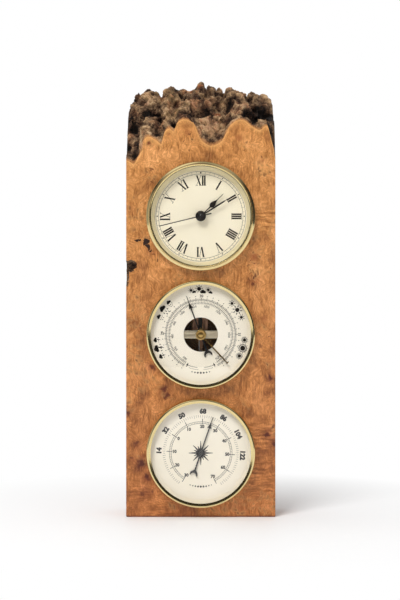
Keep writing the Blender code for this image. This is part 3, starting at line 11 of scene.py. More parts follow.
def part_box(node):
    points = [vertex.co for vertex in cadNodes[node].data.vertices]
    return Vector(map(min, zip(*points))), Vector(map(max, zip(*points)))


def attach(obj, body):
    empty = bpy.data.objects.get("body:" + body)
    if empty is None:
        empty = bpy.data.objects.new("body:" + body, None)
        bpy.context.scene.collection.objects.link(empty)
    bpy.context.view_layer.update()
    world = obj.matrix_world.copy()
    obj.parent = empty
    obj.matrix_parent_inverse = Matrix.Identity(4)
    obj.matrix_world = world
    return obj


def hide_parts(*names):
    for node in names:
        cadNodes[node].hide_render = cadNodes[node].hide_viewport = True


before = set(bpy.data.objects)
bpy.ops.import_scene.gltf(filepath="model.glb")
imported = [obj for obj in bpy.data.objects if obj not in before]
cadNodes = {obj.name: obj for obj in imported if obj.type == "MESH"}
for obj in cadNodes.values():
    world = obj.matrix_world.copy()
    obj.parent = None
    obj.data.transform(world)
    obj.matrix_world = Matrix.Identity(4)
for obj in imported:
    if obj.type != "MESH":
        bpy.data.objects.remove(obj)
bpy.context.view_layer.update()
scene = bpy.context.scene
mm = 0.001
noise.seed_set(11)            # without it the noise is another one at each start


# Where things are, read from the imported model

blockLow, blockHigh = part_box("burr_block")
frontFace = blockLow.y
instruments = {}
for insert in ("clock", "barometer", "thermometer"):
    low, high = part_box(insert + "_dial")
    centre = (low.z + high.z) / 2
    instruments[insert] = {
        "centre": centre,
        # turns a shape drawn face up in x and y to stand on the slab's front
        "place": Matrix.Translation((0, frontFace, centre)) @ Matrix.Rotation(math.pi / 2, 4, "X"),
    }


# Small helpers

def linear(hexColour):
    parts = [int(hexColour[i:i + 2], 16) / 255 for i in (1, 3, 5)]
    return [c / 12.92 if c <= 0.04045 else ((c + 0.055) / 1.055) ** 2.4 for c in parts] + [1.0]


# fills a node's sockets, by name or as a list in the order of the sockets in use; another
# node among the values stands for its first output in use
def feed(tree, node, inputs):
    if isinstance(inputs, dict):
        pairs = [(node.inputs[name], value) for name, value in inputs.items()]
    else:
        pairs = zip([socket for socket in node.inputs if socket.enabled], inputs)
    for socket, value in pairs:
        if isinstance(value, bpy.types.Node):
            value = next(output for output in value.outputs if output.enabled)
        if isinstance(value, bpy.types.NodeSocket):
            tree.links.new(value, socket)
        else:
            socket.default_value = value


# adds a node with its settings, colour stops and what goes into its sockets
def addNode(tree, kind, inputs=(), stops=(), **settings):
    made = tree.nodes.new("ShaderNode" + kind)
    for key, value in settings.items():
        setattr(made, key, value)
    if stops:
        ramp = made.color_ramp.elements
        while len(ramp) < len(stops):
            ramp.new(0.5)
        for element, (position, colour) in zip(ramp, stops):
            element.position = position
            element.color = linear(colour)
    feed(tree, made, inputs)
    return made


def newMaterial(name, roughness, metallic=0.0, colour=None):
    material = bpy.data.materials.new(name)
    material.use_nodes = True
    tree = material.node_tree
    shader = tree.nodes["Principled BSDF"]
    shader.inputs["Roughness"].default_value = roughness
    shader.inputs["Metallic"].default_value = metallic
    if colour:
        shader.inputs["Base Color"].default_value = linear(colour)
        material.diffuse_color = linear(colour)
    return material, tree, shader


# gives a bmesh its place, makes it a piece of the model and says what it rides on
def addPiece(name, shape, material, body, replaced=(), place=None, sharpAngle=35):
    mesh = bpy.data.meshes.new(name)
    shape.to_mesh(mesh)
    shape.free()
    if place:
        mesh.transform(place)
    mesh.shade_smooth()
    mesh.set_sharp_from_angle(angle=math.radians(sharpAngle))
    for one in (material if isinstance(material, (list, tuple)) else [material]):
        mesh.materials.append(one)
    piece = bpy.data.objects.new(name, mesh)
    scene.collection.objects.link(piece)
    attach(piece, body)
    if replaced:
        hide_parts(*replaced)
    return piece


def bevelSharp(shape, width, segments, angle=30):
    sharp = [e for e in shape.edges if e.is_manifold and e.calc_face_angle(0) > math.radians(angle)]
    bmesh.ops.bevel(shape, geom=sharp, offset=width, offset_type="OFFSET", segments=segments, profile=0.5,
                    affect="EDGES", material=-1, clamp_overlap=True)


# a turned piece: (radius, height) points of its section, in order round it
def spunShape(section, steps=128):
    shape = bmesh.new()
    points = [shape.verts.new((radius, 0, height)) for radius, height in section]
    edges = [shape.edges.new(pair) for pair in zip(points, points[1:])]
    if section[0][0] > 0:
        edges.append(shape.edges.new((points[-1], points[0])))
    bmesh.ops.spin(shape, geom=points + edges, cent=(0, 0, 0), axis=(0, 0, 1), angle=2 * math.pi, steps=steps,
                   use_merge=True)
    bmesh.ops.remove_doubles(shape, verts=shape.verts, dist=0.001 * mm)
    bmesh.ops.recalc_face_normals(shape, faces=shape.faces)
    return shape


# a flat piece: outline in x and y, made thick downwards from a height
def sheetShape(outline, top, thickness, bevel=0.0):
    shape = bmesh.new()
    face = shape.faces.new([shape.verts.new((x, y, top - thickness)) for x, y in outline])
    risen = bmesh.ops.extrude_face_region(shape, geom=[face])["geom"]
    bmesh.ops.translate(shape, verts=[v for v in risen if isinstance(v, bmesh.types.BMVert)],
                        vec=(0, 0, thickness))
    bmesh.ops.recalc_face_normals(shape, faces=shape.faces)
    if bevel:
        bevelSharp(shape, bevel, 1)
    return shape


# joins a second bmesh to the first
def merge(first, second):
    mesh = bpy.data.meshes.new("part")
    second.to_mesh(mesh)
    second.free()
    first.from_mesh(mesh)
    bpy.data.meshes.remove(mesh)


# turns a hand from twelve o'clock to where it points
def turnHand(shape, clockwise):
    turn = Matrix.Rotation(-math.radians(clockwise), 3, "Z")
    bmesh.ops.rotate(shape, verts=shape.verts, cent=(0, 0, 0), matrix=turn)


# Materials

# Burr elm, planed, sanded and oiled: warm orange brown that darkens downwards, with a painted shade along
# its foot, fibres that swirl about small dark eyes, and a low sheen.
burrValues = {
    "light": "#E5A263", "middle": "#C88749", "dark": "#844A24", "foot": "#D6A27A", "eye": "#571F08",
    # void: near black for the cracks of shut bark, their own bark together with a painted shade
    "void": "#2A150A", "rim": "#E9AE68", "heart": "#8A4322", "stain": "#9C6048", "roughness": 0.46,
    # sizes in the wood, and how far the swirls carry what is drawn in it
    "figure": 21 * mm, "fibre": 2.1 * mm, "ripple": 1.75 * mm, "strand": 1.15 * mm, "eyePitch": 4.0 * mm,
    "ragged": 1.6 * mm, "stray": 8.5 * mm, "curl": 2.6 * mm, "lines": 34.0, "budPull": 0.45,
    "knotStrength": 1.1, "rimStrength": 0.75,
    "shading": (1.0, 1.22, 1.6),                # powers of the tone in red, green and blue
    # from two values of a pattern or a place to what it does at each of them
    "knotDepth": (frontFace + 12 * mm, frontFace + 24 * mm, 1.0, 0.0),
    "lineShown": (0.36, 0.66, 0.04, 0.15), "fibreTone": (0.3, 0.7, 0.58, 1.36),
    "rippleTone": (0.36, 0.64, -0.42, 0.28), "rippleCalm": (0.0, 1.0, 1.0, 0.25),
    "strandShown": (0.60, 0.42, 0.0, 1.0), "strandTone": (0.34, 0.60, -0.46, 0.15),
    # the second pair on the next line paints a shade in a thin band along the foot
    "footShown": (250 * mm, 20 * mm, 0.0, 0.5), "paintedFootShade": (2.2 * mm, 0.4 * mm, 0.0, 0.6),
    "strayEyes": (0.52, 0.66, 0.0, 0.7), "eyeShown": (0.55, 0.12, 0.0, 0.9), "halo": (0.64, 0.40, 0.0, 0.55),
    "ownStrength": (0.33, 0.55, 0.0, 1.0), "heartShown": (0.72, 1.0, 0.0, 0.5),
    "sheen": (0.3, 0.7, 0.56, 0.40),
    # patches of small eyes: x, z and radius in mm
    "patches": [(35, 289, 8), (49, 271, 12), (43, 203, 9), (40, 188, 12), (54, 194, 5), (-39, 266, 9),
                (-8, 296, 7), (-12, 292, 6), (-36, 203, 6), (47, 146, 7), (-45, 46, 8), (-27, 95, 8),
                (54, 68, 8), (-50, 120, 7), (20, 14, 8), (-20, 10, 7), (52, 120, 6), (-40, 292, 5),
                (-54, 246, 6), (8, 281, 7), (-52, 172, 6), (30, 4, 7)],
    # where the grain is rippled: x, z and radius in mm
    "ripples": [(45, 62, 24), (48, 30, 26), (51, 233, 18), (-48, 20, 14), (-30, 2, 18)],
    # rings of growth about a bud: x, z and radius in mm
    "buds": [(-40.5, 291.5, 7.5), (-25, 299, 6), (30, 296, 11), (-10, 300, 9), (42, 203, 9), (50, 155, 9),
             (-46, 47, 9), (-27, 97, 8), (53, 68, 8), (48, 278, 7)],
    # single knots: x, z, radius in mm and how dark
    "knots": [(-50, 57.5, 2.6, 0.6), (-53.4, 45.8, 2.6, 0.6), (-46.8, 42, 3.6, 0.9), (-42.3, 31.4, 3.2, 0.9),
              (-45.6, 18, 2.4, 0.6), (-37.5, 20, 2.6, 0.6), (-28.5, 100, 3.6, 0.85), (-26, 94, 2.6, 0.85),
              (-37.1, 117.3, 3.2, 0.75), (-46.2, 147.2, 2.0, 0.45), (53.4, 140, 1.8, 0.7),
              (46.2, 133, 1.6, 0.5), (54, 108, 2.4, 0.95), (51.4, 64, 3.2, 0.9), (57.3, 58, 3.2, 0.9),
              (56.6, 70, 2.0, 0.7), (-57.2, 81, 2.4, 0.8), (40.4, 182.3, 1.8, 0.7), (36, 186, 1.5, 0.7),
              (41.5, 187, 1.5, 0.8), (38.5, 190.5, 1.2, 0.7), (43.5, 191, 1.0, 0.7), (37.5, 196, 1.1, 0.7),
              (42.5, 197.5, 1.2, 0.8), (39.5, 201, 1.2, 0.8), (44.5, 203.5, 1.1, 0.7),
              (40.5, 206.5, 1.1, 0.7), (-36.7, 205, 1.6, 0.8), (-34, 200.5, 1.4, 0.8), (35.3, 292, 1.5, 0.7),
              (35, 286.5, 1.3, 0.8), (-39.6, 272.5, 1.1, 0.7), (-37.5, 262, 1.2, 0.7), (-41, 260, 1.0, 0.7),
              (-8.6, 299, 1.1, 0.8), (-13, 293, 1.0, 0.8), (-9, 286, 1.3, 0.8), (47.8, 280, 1.2, 0.8),
              (-40.4, 291.6, 1.3, 0.7), (-25.3, 299.5, 1.0, 0.6), (54, 194, 1.2, 0.8),
              (-43.5, 161.5, 0.9, 0.6)],
    # reddish stains about knots: x, z, radius in mm and how strong
    "stains": [(-50, 56, 7, 0.5), (-53, 45, 6, 0.5), (-46, 41, 9, 0.75), (-42, 31, 8, 0.7),
               (-43, 19, 10, 0.5), (-28, 98, 8, 0.6), (-38, 117, 8, 0.6), (-46, 147, 5, 0.4),
               (54, 107, 5, 0.6), (52, 97, 6, 0.4), (52, 64, 7, 0.6), (57, 60, 8, 0.6), (41, 184, 9, 0.6),
               (41, 203, 9, 0.45), (-38, 207, 8, 0.4), (-57, 81, 5, 0.6), (-12, 6, 14, 0.4),
               (30, 5, 12, 0.3), (-56, 240, 8, 0.3), (53, 120, 5, 0.3)],
    # bark shut in cracks, painted near black for their own bark and the shade in them: x, z, radius in mm
    "voids": [(-49.8, 215.2, 1.7), (-47.6, 214.7, 1.4), (-43.0, 214.6, 2.6), (-41.0, 211.2, 2.1),
              (-39.0, 208, 1.1), (-57.8, 182.5, 2.2)],
}


# how near a point is to one of several spots: 0 outside all of them, up to each one's strength
def nearSpots(tree, flat, spots, core=0.25):
    total = None
    for x, z, radius, *strength in spots:
        away = addNode(tree, "VectorMath", [flat, (x * mm, 0, z * mm)], operation="DISTANCE")
        near = addNode(tree, "MapRange", [away, radius * mm, core * radius * mm, 0.0, *(strength or [1.0])],
                       interpolation_type="SMOOTHSTEP")
        total = addNode(tree, "Math", [total, near], operation="MAXIMUM") if total else near
    return total


def burrWood():
    v = burrValues
    material, tree, shader = newMaterial("oiledBurrElm", v["roughness"], colour=v["middle"])
    place = addNode(tree, "TexCoord").outputs["Object"]
    inwards, height = addNode(tree, "SeparateXYZ", [place]).outputs[1:]

    # moves a place by a noise of its own, so that what is drawn there swirls
    def stirred(vector, size, reach):
        stir = addNode(tree, "TexNoise", {"Vector": vector, "Scale": 1 / size, "Detail": 2.0})
        centred = addNode(tree, "VectorMath", [stir.outputs["Color"], (0.5, 0.5, 0.5)], operation="SUBTRACT")
        moved = addNode(tree, "VectorMath", [centred, 2 * reach], operation="SCALE")
        return addNode(tree, "VectorMath", [vector, moved], operation="ADD")

    curled = stirred(stirred(place, v["figure"], v["stray"]), 0.3 * v["figure"], v["curl"])
    near = stirred(place, 0.25 * v["figure"], 0.6 * v["curl"])
    flat = addNode(tree, "VectorMath", [near, (1, 0, 1)], operation="MULTIPLY")
    bud = nearSpots(tree, flat, v["buds"], 0.0)
    # broad figure: light and dark clouds
    cloud = addNode(tree, "TexNoise", {"Vector": curled, "Scale": 1 / v["figure"], "Detail": 7.0,
                                       "Roughness": 0.66})
    ground = addNode(tree, "ValToRGB", [cloud],
                     stops=[(0.27, v["dark"]), (0.47, v["middle"]), (0.69, v["light"])])
    # growth lines: level lines of a slow noise that closes into rings about the buds
    level = addNode(tree, "TexNoise", {"Vector": curled, "Scale": 0.7 / v["figure"], "Detail": 1.5})
    ringed = addNode(tree, "Math", [bud, v["budPull"], level], operation="MULTIPLY_ADD")
    turned = addNode(tree, "Math", [ringed, 2 * math.pi * v["lines"]], operation="MULTIPLY")
    wave = addNode(tree, "Math", [turned], operation="SINE")
    faded = addNode(tree, "TexNoise", {"Vector": place, "Scale": 2 / v["figure"], "Detail": 2.0})
    lineShown = addNode(tree, "MapRange", [faded, *v["lineShown"]])
    lineTone = addNode(tree, "Math", [wave, lineShown, 1.0], operation="MULTIPLY_ADD")
    # fine fibres, drawn out along the swirls, upright between them
    drawn = addNode(tree, "Mapping", {"Vector": curled, "Scale": (1.0, 1.0, 0.24)})
    fibre = addNode(tree, "TexNoise", {"Vector": drawn, "Scale": 1 / v["fibre"], "Detail": 8.0,
                                       "Roughness": 0.74, "Distortion": 1.0})
    fibreTone = addNode(tree, "MapRange", [fibre, *v["fibreTone"]])
    # rippled grain lies across, and hides most of the upright one
    across = addNode(tree, "Mapping", {"Vector": stirred(place, 0.2 * v["figure"], 0.5 * v["curl"]),
                                       "Scale": (0.16, 0.3, 1.0)})
    ripple = addNode(tree, "TexNoise", {"Vector": across, "Scale": 1 / v["ripple"], "Detail": 3.0})
    rippleTone = addNode(tree, "MapRange", [ripple, *v["rippleTone"]])
    rippleShare = nearSpots(tree, flat, v["ripples"])
    rippled = addNode(tree, "Math", [rippleTone, rippleShare, 1.0], operation="MULTIPLY_ADD")
    calm = addNode(tree, "MapRange", [rippleShare, *v["rippleCalm"]])
    tone = addNode(tree, "Mix", [calm, 1.0, fibreTone])
    # short dark strands of upright fibre
    upright = addNode(tree, "Mapping", {"Vector": stirred(place, 0.4 * v["figure"], 0.5 * v["curl"]),
                                        "Scale": (1.0, 1.0, 0.13)})
    strand = addNode(tree, "TexNoise", {"Vector": upright, "Scale": 1 / v["strand"], "Detail": 4.0,
                                        "Roughness": 0.65})
    strandShown = addNode(tree, "MapRange", [faded, *v["strandShown"]])
    strandShown = addNode(tree, "Math", [strandShown, calm], operation="MULTIPLY")
    strandTone = addNode(tree, "MapRange", [strand, *v["strandTone"]])
    stranded = addNode(tree, "Math", [strandTone, strandShown, 1.0], operation="MULTIPLY_ADD")
    for grain in (lineTone, rippled, stranded):
        tone = addNode(tree, "Math", [tone, grain], operation="MULTIPLY")
    # dark fibre is also redder, and light fibre paler
    shades = [addNode(tree, "Math", [tone, power], operation="POWER") for power in v["shading"]]
    shade = addNode(tree, "CombineXYZ", shades)
    colour = addNode(tree, "VectorMath", [ground, shade], operation="MULTIPLY")
    # small eyes, each with a pale ring, in patches; nearly half the cells have none
    scattered = addNode(tree, "TexNoise", {"Vector": place, "Scale": 0.55 / v["figure"], "Detail": 2.0})
    stray = addNode(tree, "MapRange", [scattered, *v["strayEyes"]])
    patch = addNode(tree, "Math", [nearSpots(tree, flat, v["patches"]), stray], operation="MAXIMUM")
    frayed = stirred(curled, v["ragged"], 0.5 * v["ragged"])
    cell = addNode(tree, "TexVoronoi", {"Vector": frayed, "Scale": 1 / v["eyePitch"]})
    eye = addNode(tree, "MapRange", [cell.outputs["Distance"], *v["eyeShown"]])
    halo = addNode(tree, "MapRange", [cell.outputs["Distance"], *v["halo"]])
    own = addNode(tree, "SeparateXYZ", [cell.outputs["Color"]])
    ownStrength = addNode(tree, "MapRange", [own, *v["ownStrength"]])
    for share in (patch, ownStrength):
        eye = addNode(tree, "Math", [eye, share], operation="MULTIPLY")
        halo = addNode(tree, "Math", [halo, share], operation="MULTIPLY")
    # knots, and the shut bark cracks painted dark for bark and shade together, reach a little way in, and
    # don't show on the back
    shallow = addNode(tree, "MapRange", [inwards, *v["knotDepth"]])
    torn = stirred(stirred(flat, 3 * v["ragged"], 2.4 * v["ragged"]), v["ragged"], 0.8 * v["ragged"])
    torn = addNode(tree, "VectorMath", [torn, (1, 0, 1)], operation="MULTIPLY")
    knot = addNode(tree, "Math", [nearSpots(tree, torn, v["knots"]), shallow], operation="MULTIPLY")
    shutBarkAndShade = addNode(tree, "Math", [nearSpots(tree, torn, v["voids"], 0.75), shallow], operation="MULTIPLY")
    heart = addNode(tree, "MapRange", [bud, *v["heartShown"]])
    # it is browner towards the foot and paler along the natural edge; a thin dark band along the foot, where
    # it stands, is painted shade
    foot = addNode(tree, "MapRange", [height, *v["footShown"]])
    paintedFootShade = addNode(tree, "MapRange", [height, *v["paintedFootShade"]])
    edge = addNode(tree, "Attribute", attribute_name="rim").outputs["Fac"]
    stain = nearSpots(tree, flat, v["stains"], 0.0)
    darkKnot = addNode(tree, "Math", [knot, v["knotStrength"]], operation="MULTIPLY")
    edge = addNode(tree, "Math", [edge, v["rimStrength"]], operation="MULTIPLY")
    # layers of colour, from the lowest: share, colour and how it blends
    for share, tint, blend in (
            (foot, "foot", "MULTIPLY"), (stain, "stain", "MULTIPLY"), (halo, "rim", "MIX"),
            (eye, "eye", "MIX"), (heart, "heart", "MIX"), (darkKnot, "eye", "MIX"), (shutBarkAndShade, "void", "MIX"),
            (edge, "rim", "MIX"), (paintedFootShade, "eye", "MIX")):
        colour = addNode(tree, "Mix", [share, colour, linear(v[tint])], data_type="RGBA", blend_type=blend)
    sheen = addNode(tree, "MapRange", [fibre, *v["sheen"]])
    hollow = addNode(tree, "Math", [knot, eye, shutBarkAndShade], operation="MULTIPLY_ADD")
    relief = addNode(tree, "Math", [tone, hollow], operation="SUBTRACT")
    bump = addNode(tree, "Bump", {"Height": relief, "Strength": 0.25, "Distance": 0.15 * mm})
    feed(tree, shader, {"Base Color": colour, "Roughness": sheen, "Normal": bump})
    return material


# Natural burr surface under its lost bark: weathered grey brown knobs and runnels, dry and rough;
# tan on their tops, partly their own colour and partly painted highlight, and painted shade nearly black
# between them.
barkValues = {
    # the nearly black first colour is painted shade in the hollows; tan and pale on the tops are partly
    # painted highlight
    "hollowShade": "#110A05", "brown": "#543B29", "grey": "#826950", "tan": "#AC8860", "pale": "#CDAE87",
    "plum": "#5B4146", "moss": "#6F6A52", "rust": "#8E5128", "roughness": (0.3, 0.7, 0.9, 0.72),
    # runnels fan out from this x and z: what an angle is in width, and how drawn out they are
    "fan": (7.5 * mm, 284 * mm), "fanReach": 34 * mm, "runnelDepth": 0.25, "runnelLength": 0.17,
    "tint": 9 * mm, "fanStir": 0.9,
    # noises: size, detail, roughness, distortion, and how their values lighten or darken
    "patterns": {
        "grain": (0.8 * mm, 6.0, 0.75, 0.0, (0.25, 0.75, -0.34, 0.34)),
        "clump": (4.2 * mm, 5.0, 0.6, 0.8, (0.3, 0.7, -0.24, 0.24)),
        "streak": (1.1 * mm, 5.0, 0.6, 0.6, (0.3, 0.7, -0.2, 0.2)),
        "patch": (15 * mm, 2.0, 0.5, 0.0, (0.35, 0.65, -0.2, 0.2)),
    },
    # tints: channel of the slow noise, where it shows, and where a feature's own hue shows it
    "tints": {
        "plum": (2, (0.5, 0.64, 0.0, 0.5), None),
        "moss": (1, (0.52, 0.66, 0.0, 0.5), (-0.1, -1.0, 0.0, 0.8)),
        "rust": (0, (0.52, 0.66, 0.0, 0.45), (0.1, 1.0, 0.0, 0.8)),
    },
}


def naturalBurr():
    v = barkValues
    material, tree, shader = newMaterial("weatheredBurrEdge", 0.85, colour=v["brown"])
    place = addNode(tree, "TexCoord").outputs["Object"]
    relief, hue, bare = (addNode(tree, "Attribute", attribute_name=name).outputs["Fac"]
                         for name in ("relief", "hue", "bare"))
    # runnels left by the bark's fibres, which fan out from the foot of the valley
    x, inwards, z = addNode(tree, "SeparateXYZ", [place]).outputs
    across = addNode(tree, "Math", [x, v["fan"][0]], operation="SUBTRACT")
    up = addNode(tree, "Math", [z, v["fan"][1]], operation="SUBTRACT")
    turn = addNode(tree, "Math", [across, up], operation="ARCTAN2")
    out = addNode(tree, "VectorMath", [addNode(tree, "CombineXYZ", [across, up])], operation="LENGTH")
    fanned = addNode(tree, "CombineXYZ", [
        addNode(tree, "Math", [value, share], operation="MULTIPLY")
        for value, share in ((turn, v["fanReach"]), (inwards, v["runnelDepth"]), (out, v["runnelLength"]))])
    stir = addNode(tree, "TexNoise", {"Vector": place, "Scale": 1 / v["tint"]})
    moved = addNode(tree, "VectorMath", [stir.outputs["Color"], v["fanStir"] * v["tint"]], operation="SCALE")
    fanned = addNode(tree, "VectorMath", [fanned, moved], operation="ADD")
    # painted shade and highlight: the relief darkens the hollows towards nearly black and lightens the tops
    # towards tan and pale
    tone = relief
    drawn = {}
    for name, (size, detail, roughness, distortion, reach) in v["patterns"].items():
        drawn[name] = addNode(tree, "TexNoise", {
            "Vector": fanned if name == "streak" else place, "Scale": 1 / size, "Detail": detail,
            "Roughness": roughness, "Distortion": distortion})
        shift = addNode(tree, "MapRange", [drawn[name], *reach])
        tone = addNode(tree, "Math", [tone, shift], operation="ADD")
    colour = addNode(tree, "ValToRGB", [tone], stops=[(0.10, v["hollowShade"]), (0.36, v["brown"]), (0.58, v["grey"]),
                                                      (0.80, v["tan"]), (1.0, v["pale"])])
    slow = addNode(tree, "TexNoise", {"Vector": place, "Scale": 1 / v["tint"], "Detail": 3.0})
    channels = addNode(tree, "SeparateXYZ", [slow.outputs["Color"]]).outputs
    for name, (channel, reach, hueReach) in v["tints"].items():
        share = addNode(tree, "MapRange", [channels[channel], *reach])
        if hueReach:
            own = addNode(tree, "MapRange", [hue, *hueReach])
            share = addNode(tree, "Math", [share, own], operation="MAXIMUM")
        colour = addNode(tree, "Mix", [share, colour, linear(v[name])], data_type="RGBA",
                         blend_type="OVERLAY")
    # the first millimetre behind the planed face is still bare wood
    fresh = addNode(tree, "ValToRGB", [drawn["grain"]],
                    stops=[(0.35, burrValues["dark"]), (0.6, burrValues["light"])])
    colour = addNode(tree, "Mix", [bare, colour, fresh], data_type="RGBA")
    rough = drawn["grain"]
    for name in ("streak", "clump"):
        rough = addNode(tree, "Math", [rough, drawn[name]], operation="ADD")
    bump = addNode(tree, "Bump", {"Height": rough, "Strength": 0.9, "Distance": 0.8 * mm})
    gloss = addNode(tree, "MapRange", [drawn["grain"], *v["roughness"]])
    feed(tree, shader, {"Base Color": colour, "Roughness": gloss, "Normal": bump})
    return material


metalValues = {"cloud": 14 * mm, "cloudTone": (0.3, 0.7, 0.93, 1.04), "bump": 0.02 * mm, "smoothest": 0.02}


# A turned or rolled metal: fine rings or a fine grain in its gloss, a little dulled in places.
def metal(name, colour, roughness, grain=0.25 * mm, turned=None, spread=0.10, bumpStrength=0.04):
    v = metalValues
    material, tree, shader = newMaterial(name, roughness, 1.0, colour)
    place = addNode(tree, "TexCoord").outputs["Object"]
    dull = addNode(tree, "TexNoise", {"Vector": place, "Scale": 1 / v["cloud"], "Detail": 3.0})
    if turned:
        moved = addNode(tree, "Mapping", {"Vector": place, "Location": (0, 0, -turned)})
        flat = addNode(tree, "VectorMath", [moved, (1, 0, 1)], operation="MULTIPLY")
        radius = addNode(tree, "VectorMath", [flat], operation="LENGTH")
        ring = addNode(tree, "Math", [radius, 1 / grain], operation="MULTIPLY")
        marks = addNode(tree, "TexNoise", {"W": ring, "Scale": 1.0}, noise_dimensions="1D")
    else:
        marks = addNode(tree, "TexNoise", {"Vector": place, "Scale": 1 / grain, "Detail": 2.0})
    both = addNode(tree, "Math", [marks, dull], operation="ADD")
    gloss = addNode(tree, "MapRange", [both, 0.7, 1.3, max(v["smoothest"], roughness - spread / 2),
                                       roughness + spread / 2])
    toned = addNode(tree, "MapRange", [dull, *v["cloudTone"]])
    tint = addNode(tree, "VectorMath", [linear(colour)[:3], toned], operation="SCALE")
    bump = addNode(tree, "Bump", {"Height": marks, "Strength": bumpStrength, "Distance": v["bump"]})
    feed(tree, shader, {"Base Color": tint, "Roughness": gloss, "Normal": bump})
    return material


coatingValues = {"texture": 0.4 * mm, "bump": 0.03 * mm, "glossSpread": 0.04}


# A moulded, painted or printed surface: one colour with a fine texture and faint unevenness.
def coating(name, colour, second, roughness, bumpStrength=0.05, cloudSize=18 * mm):
    v = coatingValues
    material, tree, shader = newMaterial(name, roughness, 0.0, colour)
    place = addNode(tree, "TexCoord").outputs["Object"]
    cloud = addNode(tree, "TexNoise", {"Vector": place, "Scale": 1 / cloudSize, "Detail": 4.0})
    shade = addNode(tree, "ValToRGB", [cloud], stops=[(0.38, second), (0.62, colour)])
    fine = addNode(tree, "TexNoise", {"Vector": place, "Scale": 1 / v["texture"], "Detail": 3.0})
    gloss = addNode(tree, "MapRange", [fine, 0.3, 0.7, roughness - v["glossSpread"],
                                       roughness + v["glossSpread"]])
    bump = addNode(tree, "Bump", {"Height": fine, "Strength": bumpStrength, "Distance": v["bump"]})
    feed(tree, shader, {"Base Color": shade, "Roughness": gloss, "Normal": bump})
    return material


# Soda lime glass, flat and clean; a faint haze of handling in its gloss.
def clearGlass():
    material, tree, shader = newMaterial("sodaLimeGlass", 0.02)
    place = addNode(tree, "TexCoord").outputs["Object"]
    haze = addNode(tree, "TexNoise", {"Vector": place, "Scale": 1 / (9 * mm), "Detail": 4.0})
    gloss = addNode(tree, "MapRange", [haze, 0.4, 0.8, 0.0, 0.03])
    feed(tree, shader, {"Base Color": linear("#FEFFFE"), "Transmission Weight": 1.0, "IOR": 1.45,
                        "Specular IOR Level": 0.3, "Roughness": gloss})
    # light for the dial passes straight through the pane
    through = addNode(tree, "BsdfTransparent", {"Color": linear("#FDFDFC")})
    path = addNode(tree, "LightPath")
    soft = addNode(tree, "Math", [path.outputs["Is Shadow Ray"], path.outputs["Is Diffuse Ray"]],
                   operation="MAXIMUM")
    pane = addNode(tree, "MixShader", [soft, shader, through])
    feed(tree, tree.nodes["Material Output"], {"Surface": pane})
    return material


# Finishes, each named for its material and how its surface was made, or for painted shade in its colour
wood = burrWood()
bark = naturalBurr()
glass = clearGlass()
giltBrass = metal("lacqueredGiltBrass", "#D9BE78", 0.17, spread=0.06)   # spun brass under clear lacquer
paleGilt = metal("satinPaleGilt", "#DDD2AE", 0.34)                      # satin plated ring
brass = metal("turnedBrass", "#C9A768", 0.30)                           # bare clock brass
agedBrass = metal("agedBrass", "#6E5630", 0.40, spread=0.16)            # gone brown under old lacquer
bronzed = metal("bronzedCopper", "#94705A", 0.36, spread=0.16)          # sheet browned by heat
capsuleShadedBronze = metal("berylliumBronzeShadedDark", "#80603E", 0.34, spread=0.2)   # rolled thin bronze, darkened to a deep brown as painted shade of the dark case it sits in
springSteelShadedDark = metal("bluedSpringSteelShadedDark", "#3A3733", 0.36, spread=0.2)    # tempered strip, blued, and darkened to nearly black as painted shade of the dark case
steel = metal("drawnSteel", "#A9A9A6", 0.32)                            # plain drawn wire and bar
tinned = metal("tinnedPlate", "#B9B7B0", 0.36, spread=0.2)              # pressed tin plate
# satin nickel that has yellowed, and round wires side by side
nickel = metal("nickelledSheet", "#DCCDB2", 0.42, grain=0.18 * mm, spread=0.14, bumpStrength=0.1)
copperWire = metal("enamelledCopperWire", "#A8572B", 0.35, grain=0.12 * mm, bumpStrength=0.5)
# stamped and lacquered hands, a thin matt film of ink, smooth paint, and mouldings
blackHand = coating("blackLacqueredSteel", "#120C08", "#1A130E", 0.32)
ink = coating("printedBlackInk", "#16100C", "#221A15", 0.65)
ink.node_tree.nodes["Principled BSDF"].inputs["Specular IOR Level"].default_value = 0.25
clockFace = coating("creamDialPaint", "#FBF0D8", "#F7EBD0", 0.55, cloudSize=40 * mm)
paleFace = coating("ivoryDialPaint", "#FBF1E2", "#F6ECDA", 0.55, cloudSize=40 * mm)
blackPlastic = coating("mouldedBlackStyrene", "#1B1B1C", "#232324", 0.48, bumpStrength=0.2)
paleAcetal = coating("mouldedAcetal", "#E6E0D2", "#DDD6C6", 0.45)
rubber = coating("blackNitrileRubber", "#161616", "#1E1D1C", 0.75, bumpStrength=0.3)
boardGreen = coating("lacqueredBoard", "#1F5A35", "#27663D", 0.35)
cellJacket = coating("printedCellJacket", "#2B2C30", "#34353A", 0.30)
print("materials ready")


# Studio

studio = {
    "lens": 85.0, "stepBack": 1.105, "aimX": -0.6 * mm, "aimHeight": 169.3 * mm, "clip": 10 * mm,
    "floor": "#FBFBFB", "floorRadius": 2.5, "floorDrop": 0.02 * mm, "floorFade": (0.07, 0.27, 0.0, 1.0),
    "lampAim": (0, 0, 170 * mm),
    "keyPower": 29.5, "keySize": 0.8, "keyAt": (-0.60, -1.20, 1.65),
    "fillPower": 3.8, "fillSize": 1.2, "fillAt": (1.5, -1.2, 0.75),
    "topPower": 6.5, "topSize": 1.0, "topAt": (-0.1, 0.15, 1.7),
    "roomLight": 0.26, "darkFront": 0.045, "backdrop": 1.0,
    # patches of the room: where along their axis they begin and are full, and how bright they are
    "behind": (0.05, 0.45, 0.0, 1.0), "below": (-0.26, -0.29, 0.0, 1.0), "rising": (0.54, 0.80, 0.0, 0.42),
    "overhead": (0.88, 0.97, 1.0, 0.1), "leftSide": (-0.72, -0.95, 0.0, 0.55),
    "keyPatch": (0.92, 0.985, 0.0, 1.0),
}

